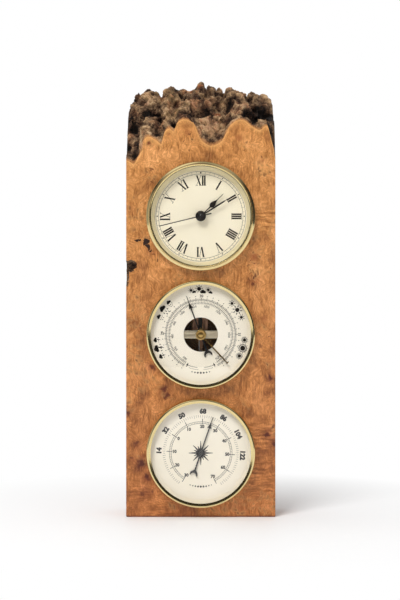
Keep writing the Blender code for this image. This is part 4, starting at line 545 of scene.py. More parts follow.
cameraData = bpy.data.cameras.new("camera")
cameraData.lens = studio["lens"]
cameraData.sensor_width = 36
cameraData.clip_start = studio["clip"]
camera = bpy.data.objects.new("camera", cameraData)
camera.location = (studio["aimX"], frontFace - studio["stepBack"], studio["aimHeight"])
camera.rotation_euler = (math.pi / 2, 0, 0)
scene.collection.objects.link(camera)
scene.camera = camera

scene.view_settings.view_transform = "Standard"

for role in ("key", "fill", "top"):
    data = bpy.data.lights.new(role + "Softbox", "AREA")
    data.energy = studio[role + "Power"]
    data.size = studio[role + "Size"]
    lamp = bpy.data.objects.new(role + "Softbox", data)
    lamp.location = studio[role + "At"]
    towards = Vector(studio["lampAim"]) - lamp.location
    lamp.rotation_euler = towards.to_track_quat("-Z", "Y").to_euler()
    # polished rings show the room's soft patches of light, not hard white spots
    lamp.visible_glossy = False
    scene.collection.objects.link(lamp)

# The room: white behind and below the slab, for the camera and in glass and metal; dark in
# front, which keeps the panes clear and gives the bezels their dark lower band.
world = bpy.data.worlds.new("studioRoom")
scene.world = world
world.use_nodes = True
tree = world.node_tree
tree.nodes.clear()
direction = addNode(tree, "TexCoord").outputs["Generated"]
sideways, back, up = addNode(tree, "SeparateXYZ", [direction]).outputs
bright, below, rising, overhead, leftSide = (
    addNode(tree, "MapRange", [axis, *studio[patch]])
    for axis, patch in ((back, "behind"), (up, "below"), (up, "rising"), (up, "overhead"),
                        (sideways, "leftSide")))
above = addNode(tree, "Math", [rising, overhead], operation="MULTIPLY")
facing = addNode(tree, "VectorMath", [direction, Vector(studio["keyAt"]).normalized()],
                 operation="DOT_PRODUCT")
glow = addNode(tree, "MapRange", [facing, *studio["keyPatch"]], interpolation_type="SMOOTHSTEP")
for patch in (below, above, leftSide, glow):
    bright = addNode(tree, "Math", [bright, patch], operation="MAXIMUM")
seenLevel = addNode(tree, "MapRange", [bright, 0.0, 1.0, studio["darkFront"], studio["backdrop"]])
path = addNode(tree, "LightPath")
shown = addNode(tree, "Math", [path.outputs["Is Glossy Ray"], path.outputs["Is Transmission Ray"]],
                operation="MAXIMUM")
lit = addNode(tree, "Mix", [shown, studio["roomLight"], seenLevel])
level = addNode(tree, "Mix", [path.outputs["Is Camera Ray"], lit, studio["backdrop"]])
background = addNode(tree, "Background", {"Color": (1, 1, 1, 1), "Strength": level})
addNode(tree, "OutputWorld", {"Surface": background})

# Floor: white laminate, plain, that fades into the white behind it
shape = bmesh.new()
bmesh.ops.create_circle(shape, cap_ends=True, cap_tris=False, segments=96, radius=studio["floorRadius"])
bmesh.ops.translate(shape, verts=shape.verts, vec=(0, 0, -studio["floorDrop"]))
floorMesh = bpy.data.meshes.new("studioFloor")
shape.to_mesh(floorMesh)
shape.free()
floorMaterial, tree, shader = newMaterial("whiteLaminate", 0.6, colour=studio["floor"])
place = addNode(tree, "TexCoord").outputs["Object"]
away = addNode(tree, "VectorMath", [place], operation="LENGTH")
fade = addNode(tree, "MapRange", [away, *studio["floorFade"]])
grain = addNode(tree, "TexNoise", {"Vector": place, "Scale": 1 / (3 * mm), "Detail": 2.0})
bump = addNode(tree, "Bump", {"Height": grain, "Strength": 0.02, "Distance": 0.02 * mm})
feed(tree, shader, {"Normal": bump})
white = addNode(tree, "Emission", {"Color": (1, 1, 1, 1)})
faded = addNode(tree, "MixShader", [fade, shader, white])
feed(tree, tree.nodes["Material Output"], {"Surface": faded})
floorMesh.materials.append(floorMaterial)
floorObject = bpy.data.objects.new("studioFloor", floorMesh)
scene.collection.objects.link(floorObject)
print("studio ready")


# Block

blockValues = {
    "width": blockHigh.x - blockLow.x, "depth": blockHigh.y - blockLow.y,
    "columns": 330, "rows": 190, "corner": 0.8 * mm, "sharpAngle": 48,
    # swelling of the whole top between its border and its crest
    "lump": 15 * mm, "lumpLayer": 5.3, "lumpHeight": 12 * mm, "pip": 9 * mm, "pipHeight": 4 * mm,
    "pipSlope": 1.6, "slope": 0.80, "wander": 9 * mm,
    # the rough surface: size and height of each form in it
    "warp": 9 * mm, "warpReach": 3.2 * mm, "rock": 9.5 * mm, "rockHeight": 2.2 * mm,
    "ridge": 9.0 * mm, "ridgeHeight": 1.7 * mm, "knob": 4.6 * mm, "knobHeight": 0.5 * mm,
    "runnel": 1.9 * mm, "runnelHeight": 0.6 * mm, "runnelDepth": 0.2,
    "crumb": 1.4 * mm, "crumbHeight": 0.35 * mm, "featureReach": 1.3,
    # the crest at the back: share of the roughness, its limit, and how near the back
    "crestShare": 0.5, "crestMost": 1.5 * mm, "crestBand": 2 * mm,
    # what the material reads: height for the whole range of the relief, whose painted shade darkens hollows
    # and painted highlight lightens tops; the level inside a void; depth of bare wood and of the eased edge
    "shadeReliefRange": 5 * mm, "voidRelief": 0.42, "bareDepth": 1.4 * mm, "easeDepth": 2.2 * mm, "rimShare": 0.4,
    "wallSteps": (1.4 * mm, 3.2 * mm, 9 * mm),
    "pocketRadius": 40.2 * mm, "pocketDepth": 24.5 * mm, "overshoot": 2 * mm,
    "cutsBelow": 270 * mm,
    # bark voids in the left front edge: height in mm, and reach across, inwards and up in mm
    "voids": ((195.6, 9.6, 8, 4.7), (187.5, 2.7, 7, 8)),
    # size and height of the waves and of the tears in a void's wall, in its own radius
    "voidWave": (1.7, 0.3), "voidTear": (4, 0.14),
    # upper border of the planed face, x and z in mm
    "border": (
        (-58.3, 278.5), (-55.2, 276.9), (-52.1, 274.9), (-50.5, 277.7), (-48.9, 280.8), (-46.6, 284.7),
        (-45.0, 287.0), (-44.9, 289.4), (-44.7, 292.1), (-43.9, 294.8), (-41.5, 296.8), (-38.8, 296.4),
        (-36.5, 294.8), (-34.1, 293.3), (-32.2, 291.7), (-31.0, 290.2), (-29.8, 293.3), (-29.1, 297.2),
        (-28.3, 300.3), (-26.7, 302.0), (-24.8, 303.2), (-23.2, 302.2), (-21.6, 300.7), (-20.9, 300.7),
        (-20.1, 303.0), (-18.9, 306.5), (-17.4, 308.5), (-15.4, 309.8), (-13.1, 310.2), (-9.9, 309.8),
        (-7.6, 308.5), (-5.3, 306.7), (-4.1, 304.6), (-3.1, 301.9), (-2.1, 298.7), (-0.6, 295.2),
        (1.8, 292.5), (4.5, 290.6), (7.2, 289.4), (10.3, 289.7), (13.5, 291.3), (16.6, 293.3),
        (18.1, 296.0), (19.7, 299.5), (20.9, 301.9), (22.8, 305.0), (25.2, 307.3), (27.5, 308.9),
        (30.6, 309.8), (33.0, 309.5), (35.7, 308.3), (37.6, 306.5), (39.7, 304.8), (42.3, 303.2),
        (44.7, 302.0), (46.2, 301.5), (47.8, 302.6), (49.3, 304.2), (50.9, 305.1), (52.1, 305.3),
        (52.8, 303.4), (53.6, 300.3), (54.8, 295.6), (56.0, 290.9), (57.1, 283.9), (58.3, 277.7)),
    # rear silhouette, x and z in mm
    "crest": (
        (-60.3, 316.2), (-59.1, 321.1), (-56.6, 325.2), (-54.6, 327.6), (-53.4, 330.8), (-51.8, 336.5),
        (-50.5, 337.7), (-49.3, 336.5), (-48.1, 333.8), (-46.9, 334.9), (-45.3, 339.0), (-43.6, 340.6),
        (-41.2, 340.7), (-39.6, 339.0), (-36.3, 339.0), (-33.9, 336.5), (-31.5, 333.7), (-30.6, 337.3),
        (-29.0, 340.6), (-26.6, 341.4), (-24.2, 343.8), (-22.5, 343.0), (-20.1, 341.0), (-17.7, 339.8),
        (-14.4, 340.6), (-10.4, 339.0), (-6.3, 339.8), (-3.9, 342.2), (-2.2, 344.2), (-0.2, 345.9),
        (1.4, 346.0), (3.0, 343.8), (4.3, 339.4), (5.1, 342.2), (6.3, 343.8), (9.1, 343.0), (11.6, 341.4),
        (12.4, 338.6), (13.2, 340.6), (14.8, 341.7), (16.4, 340.6), (17.7, 337.3), (20.5, 336.1),
        (22.1, 337.3), (23.3, 340.6), (24.6, 341.6), (27.0, 339.8), (29.8, 338.6), (31.1, 337.8),
        (33.1, 338.4), (35.1, 334.9), (36.7, 333.4), (38.4, 336.5), (40.8, 338.8), (43.2, 338.1),
        (46.5, 335.7), (50.5, 334.9), (53.8, 334.1), (56.2, 332.5), (57.2, 327.6)),
    # hollows and lumps of the rough, as seen from the front, in mm: x, z, half width, half
    # height and how far out; last the hue, from grey (-1) to rust (1)
    "features": (
        (-41.1, 316.6, 6.4, 4, -4.5, -0.3), (-55.2, 304.1, 4, 4.8, -4, 0), (-23.3, 305.4, 3.6, 2.9, -3, 0.2),
        (-15.1, 331.5, 2.4, 2.8, -2.5, 0), (2.2, 317.7, 4, 4, -2.5, 0.1), (47.8, 316, 11.2, 7.6, -6.5, 0),
        (34.6, 315.7, 4.8, 2.9, -3.5, 0.2), (1.4, 297.9, 2, 3.2, -1, -0.4), (44.8, 306.3, 4.8, 4, 3.2, -0.7),
        (-42.6, 334.7, 4, 4.8, 1.2, 0.2), (-35.9, 305.8, 14.4, 2.9, 0.8, 0.1),
        (-24.8, 332, 6.4, 9.6, 0.9, -0.9), (7.4, 326.9, 5.2, 5.2, 2, 0.3), (54.5, 304.7, 2.1, 14.4, -2.4, 0),
        (12.5, 316.5, 4, 2.6, 0.5, 1), (-17.3, 316.2, 4, 4, 0.8, -1), (0.2, 340.4, 2.6, 3.2, 0.8, 1),
        (-6.7, 335.8, 2.1, 2.4, 0.6, 1), (19.4, 325, 7.2, 5.6, -1.2, 0.1), (27.7, 333.4, 4, 4, 1.2, 0.2),
        (34.8, 320.5, 4.8, 2.1, 1.5, 0.6), (7.5, 303, 13, 13, 1.3, 0.35), (-10.1, 318.1, 4.8, 4.8, -0.8, 0.2),
        (-50, 332, 2.4, 6.4, 0.8, 0.3)),
}


def between(table, at):
    at = min(max(at, table[0][0]), table[-1][0])
    for (a, low), (b, high) in zip(table, table[1:]):
        if at <= b:
            return low + (high - low) * (at - a) / (b - a)


def naturalHeight(x, back):
    v = blockValues
    y = back * v["depth"]
    middle = math.sin(math.pi * back)
    stray = v["wander"] * middle * noise.noise(Vector((x / v["lump"], y / v["lump"], v["lumpLayer"])))
    border = between(v["border"], (x + stray) / mm) * mm
    crest = between(v["crest"], (x - stray) / mm) * mm
    swell = noise.noise(Vector((x / v["lump"], y / v["lump"], 0)))
    pips = max(0.0, 1 - noise.voronoi(Vector((x / v["pip"], y / v["pip"], 0)))[0][0] * v["pipSlope"])
    return (border + (crest - border) * back ** v["slope"]
            + middle * (v["lumpHeight"] * swell + v["pipHeight"] * (pips - 0.5)))


# turns the square corner of the plan into a round one
def roundedPlan(x, y):
    v = blockValues
    r, halfX, halfY = v["corner"], v["width"] / 2, v["depth"] / 2
    a, b = abs(x) - (halfX - r), abs(y) - (halfY - r)
    if a <= 0 or b <= 0:
        return x, y
    reach = max(a, b) / math.hypot(a, b)
    return math.copysign(halfX - r + a * reach, x), math.copysign(halfY - r + b * reach, y)


# how far the weathered surface stands out at a point, and its hue
def craggy(point):
    v = blockValues
    turned = point + v["warpReach"] * noise.noise_vector(point / v["warp"])
    rock = noise.fractal(turned / v["rock"], 1.1, 2.2, 4)
    ridge = noise.ridged_multi_fractal(turned / v["ridge"], 0.9, 2.1, 3, 1.0, 2.0) - 1.0
    knobShare = max(0.0, min(1.0, 0.5 + 1.6 * noise.noise(point / (3 * v["knob"]))))
    cells = noise.voronoi(turned / v["knob"])[0]
    knob = knobShare * (1 - 1.5 * cells[0] + min(1.0, 3 * (cells[1] - cells[0])) - 1)
    across, up = turned.x - barkValues["fan"][0], turned.z - barkValues["fan"][1]
    fanned = Vector((math.atan2(across, up) * barkValues["fanReach"], v["runnelDepth"] * turned.y,
                     barkValues["runnelLength"] * math.hypot(across, up)))
    runnel = noise.noise(fanned / v["runnel"])
    crumb = noise.fractal(point / v["crumb"], 0.9, 2.0, 3)
    amount = (v["rockHeight"] * rock + v["ridgeHeight"] * ridge + v["knobHeight"] * knob
              + v["runnelHeight"] * runnel + v["crumbHeight"] * crumb)
    hue = 0.0
    for x, z, wide, high, out, tint in v["features"]:
        away = math.hypot((turned.x / mm - x) / wide, (turned.z / mm - z) / high) / v["featureReach"]
        if away < 1:
            near = (1 - away ** 2) ** 1.5
            amount += out * mm * near
            hue += tint * near
    return amount, max(-1.0, min(1.0, hue))


def burrBlock():
    v = blockValues
    shape = bmesh.new()
    bmesh.ops.create_grid(shape, x_segments=v["columns"], y_segments=v["rows"], size=0.5)
    for vert in shape.verts:
        back = vert.co.y + 0.5
        x, y = roundedPlan(vert.co.x * v["width"], (back - 0.5) * v["depth"])
        vert.co = (x, y, naturalHeight(x, back))
    shape.normal_update()
    if sum(face.normal.z for face in shape.faces) < 0:
        bmesh.ops.reverse_faces(shape, faces=shape.faces)
        shape.normal_update()
    for vert in shape.verts:
        if vert.is_boundary and vert.co.y > v["depth"] / 2 - v["crestBand"]:
            vert.co.z += v["crestShare"] * max(-v["crestMost"], min(v["crestMost"], craggy(vert.co)[0]))
    for face in shape.faces:
        face.material_index = 1
    # walls go down from the border: narrow bands that carry the pale rim, then the whole face
    rim = [edge for edge in shape.edges if edge.is_boundary]
    for drop in (*v["wallSteps"], None):
        made = bmesh.ops.extrude_edge_only(shape, edges=rim)["geom"]
        for vert in [item for item in made if isinstance(item, bmesh.types.BMVert)]:
            vert.co.z = vert.co.z - drop if drop else 0
        for face in [item for item in made if isinstance(item, bmesh.types.BMFace)]:
            face.material_index = 0
        rim = [item for item in made if isinstance(item, bmesh.types.BMEdge)]
    bottom = bmesh.ops.contextual_create(shape, geom=rim)["faces"]
    bmesh.ops.recalc_face_normals(shape, faces=shape.faces)
    for face in bottom:
        face.material_index = 0
    bmesh.ops.bevel(shape, geom=rim, offset=v["corner"], offset_type="OFFSET", segments=3, profile=0.5,
                    affect="EDGES", material=0, clamp_overlap=False)
    return shape


# raises the rough surface after the cuts, which need a surface that doesn't fold, and gives
# every point the values its material reads, among them the relief that paints shade in hollows and highlight
# on tops
def roughen(piece):
    v = blockValues
    shape = bmesh.new()
    shape.from_mesh(piece.data)
    relief, hueLayer, bare, rim = (shape.verts.layers.float.new(name)
                                   for name in ("relief", "hue", "bare", "rim"))
    shape.normal_update()
    moves = []
    for vert in shape.verts:
        rough = [face.material_index == 1 for face in vert.link_faces]
        if not any(rough):
            continue
        if vert.co.z < v["cutsBelow"]:            # the inside of a void
            vert[relief] = v["voidRelief"]
            continue
        amount, vert[hueLayer] = craggy(vert.co)
        # painted shade and highlight: the height above the surround sets how dark or pale the bark is drawn
        vert[relief] = max(0.0, min(1.0, 0.5 + amount / v["shadeReliefRange"]))
        behindFace = vert.co.y + v["depth"] / 2
        vert[bare] = max(0.0, 1 - behindFace / v["bareDepth"])
        if all(rough):
            fromSide = v["width"] / 2 - abs(vert.co.x)
            share = min(1.0, behindFace / v["easeDepth"], fromSide / v["easeDepth"])
            moves.append((vert, vert.normal * amount * share))
        else:
            vert[rim] = 1.0
            for below in [edge.other_vert(vert) for edge in vert.link_edges]:
                if not any(face.material_index == 1 for face in below.link_faces):
                    below[rim] = v["rimShare"]
    for vert, move in moves:
        vert.co += move
        vert.co.y = min(vert.co.y, v["depth"] / 2)
    shape.to_mesh(piece.data)
    shape.free()
    piece.data.set_sharp_from_angle(angle=math.radians(v["sharpAngle"]))


# a closed tool for the boolean: what it cuts takes its material
def cutWith(piece, name, tool, materialIndex):
    for face in tool.faces:
        face.material_index = materialIndex
    mesh = bpy.data.meshes.new(name)
    tool.to_mesh(mesh)
    tool.free()
    for one in piece.data.materials:
        mesh.materials.append(one)
    cutter = bpy.data.objects.new(name, mesh)
    scene.collection.objects.link(cutter)
    cutting = piece.modifiers.new(name, "BOOLEAN")
    cutting.operation = "DIFFERENCE"
    cutting.solver = "EXACT"
    cutting.object = cutter
    made = bpy.data.meshes.new_from_object(piece.evaluated_get(bpy.context.evaluated_depsgraph_get()))
    piece.modifiers.clear()
    old = piece.data
    piece.data = made
    made.name = old.name
    bpy.data.meshes.remove(old)
    bpy.data.objects.remove(cutter)
    bpy.data.meshes.remove(mesh)


v = blockValues
burr = addPiece("burr_slab", burrBlock(), [wood, bark], "block", ["burr_block"],
                sharpAngle=v["sharpAngle"])
for insert, where in instruments.items():
    tool = bmesh.new()
    bmesh.ops.create_cone(tool, cap_ends=True, segments=160, radius1=v["pocketRadius"],
                          radius2=v["pocketRadius"], depth=v["pocketDepth"] + v["overshoot"])
    bmesh.ops.translate(tool, verts=tool.verts, vec=(0, 0, v["overshoot"] / 2 - v["pocketDepth"] / 2))
    bmesh.ops.transform(tool, matrix=where["place"], verts=tool.verts)
    cutWith(burr, insert + "Pocket", tool, 0)
for height, *reach in v["voids"]:
    tool = bmesh.new()
    bmesh.ops.create_icosphere(tool, subdivisions=5, radius=1)
    (wave, waveHeight), (tear, tearHeight) = v["voidWave"], v["voidTear"]
    for vert in tool.verts:
        vert.co *= (1 + waveHeight * noise.noise(vert.co * wave)
                    + tearHeight * noise.fractal(vert.co * tear, 0.8, 2.0, 4))
    bmesh.ops.scale(tool, verts=tool.verts, vec=[length * mm for length in reach])
    bmesh.ops.translate(tool, verts=tool.verts, vec=(blockLow.x, blockLow.y, height * mm))
    cutWith(burr, "barkVoid", tool, 1)
roughen(burr)
print("block ready:", len(burr.data.polygons), "faces")


# Shells of the three inserts

# Spun bezels: section as (radius, height) in mm, up the outside, over the crown, down to
# the lip over the glass and back up the bore. The clock's is stepped.
bezelValues = {
    "plain": ((42.5, 0.3), (42.5, 4.9), (42.42, 5.5), (42.2, 6.1), (41.85, 6.6), (41.4, 6.9), (41.05, 7.0),
              (40.75, 6.98), (40.55, 6.9), (39.1, 6.52), (38.92, 6.46), (38.92, 6.38), (39.9, 6.38),
              (39.9, 0.3)),
    "stepped": ((42.5, 0.3), (42.5, 4.5), (42.45, 4.75), (42.25, 5.0), (41.9, 5.2), (40.75, 5.72),
                (40.6, 5.85), (40.52, 6.3), (40.42, 6.6), (40.2, 6.88), (39.95, 7.0), (39.7, 6.98),
                (39.45, 6.84), (39.32, 6.6), (39.22, 6.5), (38.92, 6.42), (38.92, 6.36), (39.9, 6.36),
                (39.9, 0.3)),
    "steps": 192, "colour": "#E9D49B",
    "glassRadius": 39.6, "glassTop": 6.3, "glassBottom": 5.0, "glassBevel": 0.15, "knobHole": 1.5,
}


def inMm(points):
    return [(radius * mm, height * mm) for radius, height in points]


v = bezelValues
radius, top, bottom, bevel = v["glassRadius"], v["glassTop"], v["glassBottom"], v["glassBevel"]
for insert, where in instruments.items():
    shape = spunShape(inMm(v["stepped" if insert == "clock" else "plain"]), v["steps"])
    gilt = metal(insert + "GiltBezel", v["colour"], 0.13, turned=where["centre"], spread=0.05)
    addPiece(insert + "_bezel_ring", shape, gilt, insert + "_insert", [insert + "_bezel"],
             where["place"], sharpAngle=28)
    hole = v["knobHole"] if insert == "barometer" else 0
    section = [(hole, top), (radius - bevel, top), (radius, top - bevel), (radius, bottom + bevel),
               (radius - bevel, bottom), (hole, bottom)]
    addPiece(insert + "_glass_pane", spunShape(inMm(section)), glass, insert + "_insert",
             [insert + "_glass"], where["place"])

# The clock's inner ring: a fine-turned cone from the glass down to the recessed dial. Its
# lacquer makes it partly dull.
innerRingValues = {
    "colour": "#F0E2BC", "roughness": 0.36, "metallic": 0.4,
    "section": ((38.75, 4.7), (38.6, 4.85), (38.45, 4.8), (38.1, 3.1), (38.0, 3.0), (37.55, 2.94),
                (37.45, 2.84), (37.1, 1.4), (37.0, 1.3), (36.6, 1.24), (36.5, 1.14), (36.05, -0.3),
                (35.9, -0.5), (36.5, -0.5), (38.75, 2.4)),
}
v = innerRingValues
clockPlace = instruments["clock"]["place"]
satinRing = metal("satinPaleGiltRing", v["colour"], v["roughness"], turned=instruments["clock"]["centre"],
                  spread=0.08)
satinRing.node_tree.nodes["Principled BSDF"].inputs["Metallic"].default_value = v["metallic"]
addPiece("clock_rehaut", spunShape(inMm(v["section"]), 160), satinRing, "clock_insert",
         ["clock_inner_ring"], clockPlace)

# Dials: thin painted sheet with a turned edge and, in the barometer's, its round opening;
# the two larger ones have a line pressed round them
dialValues = {
    "clock": {"radius": 37.9, "top": -0.8, "hole": 3.1, "paint": clockFace, "pressed": None},
    "barometer": {"radius": 39.6, "top": 1.8, "hole": 13.3, "paint": paleFace, "pressed": 37.05},
    "thermometer": {"radius": 39.6, "top": 1.8, "hole": 1.2, "paint": paleFace, "pressed": 37.05},
}
for insert, v in dialValues.items():
    top, hole, radius, line = v["top"], v["hole"], v["radius"], v["pressed"]
    section = [(hole, top - 0.5), (hole, top - 0.08), (hole + 0.08, top)]
    if line:
        section += [(line - 0.25, top), (line - 0.1, top - 0.22), (line + 0.1, top - 0.22),
                    (line + 0.25, top)]
    section += [(radius - 0.1, top), (radius, top - 0.1), (radius, top - 0.5)]
    addPiece(insert + "_dial_plate", spunShape(inMm(section), 160), v["paint"], insert + "_insert",
             [insert + "_dial"], instruments[insert]["place"])
print("shells ready")


# Printing on the dials. All of it is a film of ink, drawn thicker than it is: its outlines
# are laid flat first and then made thick together.

inkFilm = 0.03 * mm


def inkPatch(shape, outline, top):
    shape.faces.new([shape.verts.new((x, y, top)) for x, y in outline])


def printOn(insert, shape):
    for face in shape.faces:
        face.normal_update()
        if face.normal.z > 0:
            face.normal_flip()
    made = bmesh.ops.extrude_face_region(shape, geom=list(shape.faces))["geom"]
    bmesh.ops.translate(shape, verts=[item for item in made if isinstance(item, bmesh.types.BMVert)],
                        vec=(0, 0, inkFilm))
    bmesh.ops.recalc_face_normals(shape, faces=shape.faces)
    addPiece(insert + "_dial_print", shape, ink, insert + "_insert",
             place=instruments[insert]["place"])


def turnedPoint(x, y, clockwise):
    cos, sin = math.cos(clockwise), math.sin(clockwise)
    return x * cos + y * sin, y * cos - x * sin


# outlines drawn with y outwards, put at a clockwise angle from the top
def inkAt(shape, outlines, top, degrees, out=0.0):
    angle = math.radians(degrees)
    for outline in outlines:
        inkPatch(shape, [turnedPoint(x, y + out, angle) for x, y in outline], top)


def inkRing(shape, radius, width, top, start=0, end=360):
    steps = max(8, round(abs(end - start) / 2))
    inside, outside = radius - width / 2, radius + width / 2
    for i in range(steps):
        a, b = (math.radians(start + (end - start) * j / steps) for j in (i, i + 1))
        inkPatch(shape, [turnedPoint(0, reach, angle) for reach, angle in
                         ((inside, a), (inside, b), (outside, b), (outside, a))], top)


# a row of small lozenges at the foot of a dial, the largest in the middle
def inkLozenges(shape, top, out, eachSide, degrees, shrink):
    for step in range(-eachSide, eachSide + 1):
        size = (1.0 - shrink * abs(step)) * mm
        inkAt(shape, [[(-size, 0), (0, -size), (size, 0), (0, size)]], top, 180 + degrees * step, out)


def bar(x, low, high, width):
    return [(x - width / 2, low), (x + width / 2, low), (x + width / 2, high), (x - width / 2, high)]


def stroke(x1, y1, x2, y2, width):
    return [(x1 - width / 2, y1), (x1 + width / 2, y1), (x2 + width / 2, y2), (x2 - width / 2, y2)]


def disc(radius, x=0.0, y=0.0, count=12):
    angles = [2 * math.pi * i / count for i in range(count)]
    return [(x + radius * math.cos(a), y + radius * math.sin(a)) for a in angles]


# numbers from Blender's own font, as a mesh
def inkNumber(shape, text, size, top, degrees, out, upright=None, bold=0.0):
    data = bpy.data.curves.new("number", "FONT")
    data.body = text
    data.size = size
    data.align_x = "CENTER"
    data.align_y = "CENTER"
    data.offset = bold
    data.resolution_u = 3
    holder = bpy.data.objects.new("number", data)
    scene.collection.objects.link(holder)
    flat = bpy.data.meshes.new_from_object(holder.evaluated_get(bpy.context.evaluated_depsgraph_get()))
    bpy.data.objects.remove(holder)
    bpy.data.curves.remove(data)
    angle = math.radians(degrees)
    x, y = turnedPoint(0, out, angle)
    lean = angle if upright is None else math.radians(upright)
    flat.transform(Matrix.Translation((x, y, top)) @ Matrix.Rotation(-lean, 4, "Z"))
    glyphs = bmesh.new()
    glyphs.from_mesh(flat)
    bpy.data.meshes.remove(flat)
    bmesh.ops.remove_doubles(glyphs, verts=glyphs.verts, dist=0.0001 * mm)
    merge(shape, glyphs)


# Roman numerals with fat and hairline strokes
romanValues = {"height": 7.9 * mm, "fat": 1.2 * mm, "hair": 0.32 * mm, "serif": 0.26 * mm, "gap": 1.62 * mm,
               "wide": 4.1 * mm, "middle": 27.9 * mm, "spaceV": 0.5 * mm, "spaceX": 0.6 * mm, "foot": 0.85}


def romanOutlines(text):
    v = romanValues
    half, fat, hair, serif = v["height"] / 2, v["fat"], v["hair"], v["serif"]
    widths = {"I": v["gap"], "V": v["wide"] + v["spaceV"], "X": v["wide"] + v["spaceX"]}
    x = -sum(widths[letter] for letter in text) / 2
    outlines = []
    for letter in text:
        middle = x + widths[letter] / 2
        left, right = middle - v["wide"] / 2 + fat / 2, middle + v["wide"] / 2 - hair
        if letter == "I":
            outlines.append(bar(middle, -half, half, fat))
            feet = [(middle, half), (middle, -half)]
        elif letter == "V":
            outlines += [stroke(left, half, middle + 0.1 * mm, -half, fat),
                         stroke(right, half, middle + 0.3 * mm, -half, hair)]
            feet = [(left, half), (right, half)]
        else:
            outlines += [stroke(left, half, right - fat / 3, -half, fat),
                         stroke(right, half, left - fat / 4, -half, hair)]
            feet = [(left, half), (right, half), (left, -half), (right - fat / 3, -half)]
        for footX, footY in feet:
            inward = footY - math.copysign(serif / 2, footY)
            outlines.append(bar(footX, inward - serif / 2, inward + serif / 2, 2 * v["foot"] * fat))
        x += widths[letter]
    return outlines


# Clock: numerals, and a double track with a mark at each fifth minute
clockPrint = {"outerTrack": 35.0 * mm, "innerTrack": 32.9 * mm, "line": 0.25 * mm, "minute": 0.14 * mm,
              "mark": 0.5 * mm, "topMark": 0.65 * mm}
v = clockPrint
shape = bmesh.new()
top = dialValues["clock"]["top"] * mm
for hour, text in enumerate(("XII", "I", "II", "III", "IIII", "V", "VI", "VII", "VIII", "IX", "X", "XI")):
    inkAt(shape, romanOutlines(text), top, 30 * hour, romanValues["middle"])
    middle = (v["outerTrack"] + v["innerTrack"]) / 2
    inkAt(shape, [disc(v["mark"] if hour else v["topMark"])], top, 30 * hour, middle)
for track in (v["outerTrack"], v["innerTrack"]):
    inkRing(shape, track, v["line"], top)
for minute in range(60):
    if minute % 5:
        inkAt(shape, [bar(0, v["innerTrack"], v["outerTrack"], v["minute"])], top, 6 * minute)
printOn("clock", shape)

# Barometer: inches of mercury outside the double ring, hectopascals inside it
baroPrint = {
    "innerRing": 24.7 * mm, "outerRing": 26.8 * mm, "line": 0.22 * mm, "cross": 0.2 * mm,
    "inches": (28.28, 31.70), "perInch": 89.0, "thirty": 1.0, "reach": 152, "hectopascals": (958, 1072),
    "perInchOfMercury": 33.864,
    # marks by their rank: length and width
    "inch": (2.0 * mm, 0.4 * mm), "tenth": (1.7 * mm, 0.4 * mm), "fine": (1.2 * mm, 0.28 * mm),
    "dot": 0.36 * mm, "outerNumbers": 29.9 * mm, "outerSize": 2.9 * mm, "outerBold": 0.08 * mm,
    "innerNumbers": 22.0 * mm, "innerSize": 2.3 * mm, "innerBold": 0.03 * mm,
    "pictures": 34.3 * mm, "pictureSize": 1.45, "besides": 11,
    # arcs at the foot: radius, width, start and end in degrees; and the end stops of the scale
    "footArcs": ((25.75 * mm, 0.3 * mm, 156, 174), (27.4 * mm, 0.2 * mm, 160, 176)),
    "stop": {"at": 156, "disc": 0.7 * mm, "half": 1.6 * mm, "width": 0.45 * mm},
    "lozenges": (29.8 * mm, 3, 4.4, 0.14),      # how far out, each side, degrees between, shrinking
}
v = baroPrint
shape = bmesh.new()
baroPlace = instruments["barometer"]["place"]
top = dialValues["barometer"]["top"] * mm
for radius in (v["innerRing"], v["outerRing"]):
    inkRing(shape, radius, v["line"], top, -v["reach"], v["reach"])
for hundredth in range(round(100 * v["inches"][0]), round(100 * v["inches"][1]) + 1, 2):
    angle = v["thirty"] + (hundredth / 100 - 30) * v["perInch"]
    if abs(angle) <= v["reach"]:
        tenth, inch = hundredth % 10 == 0, hundredth % 100 == 0
        long, wide = v["inch" if inch else "tenth" if tenth else "fine"]
        inkAt(shape, [bar(0, v["outerRing"], v["outerRing"] + long, wide)], top, angle)
        if tenth and not inch:
            inkAt(shape, [disc(v["dot"], count=8)], top, angle, v["outerNumbers"])
        elif tenth:
            inkNumber(shape, str(hundredth // 100), v["outerSize"], top, angle, v["outerNumbers"],
                      bold=v["outerBold"])
for pressure in range(v["hectopascals"][0], v["hectopascals"][1] + 1):
    angle = v["thirty"] + (pressure / v["perInchOfMercury"] - 30) * v["perInch"]
    if abs(angle) <= v["reach"]:
        ten = pressure % 10 == 0
        long, wide = v["tenth" if ten else "fine"]
        inkAt(shape, [bar(0, v["innerRing"] - long, v["innerRing"], wide),
                      bar(0, v["innerRing"], v["outerRing"], v["cross"])], top, angle)
        if ten:
            inkNumber(shape, str(pressure), v["innerSize"], top, angle, v["innerNumbers"],
                      bold=v["innerBold"])


# small pictures of the weather, in mm, drawn with y outwards
def drops(places, long, wide):
    drop = ((0, 0.5), (0.5, -0.15), (0.3, -0.5), (-0.3, -0.5), (-0.5, -0.15))
    return [[(x + across * wide, y + up * long) for across, up in drop] for x, y in places]


def sunRays(count, inside, outside, wide, x=0.0, y=0.0, start=0, end=360):
    outlines = []
    for i in range(count):
        angle = math.radians(start + (end - start) * i / count)
        corners = [turnedPoint(*corner, angle) for corner in
                   ((-wide / 2, inside), (wide / 2, inside), (0, outside))]
        outlines.append([(x + across, y + up) for across, up in corners])
    return outlines


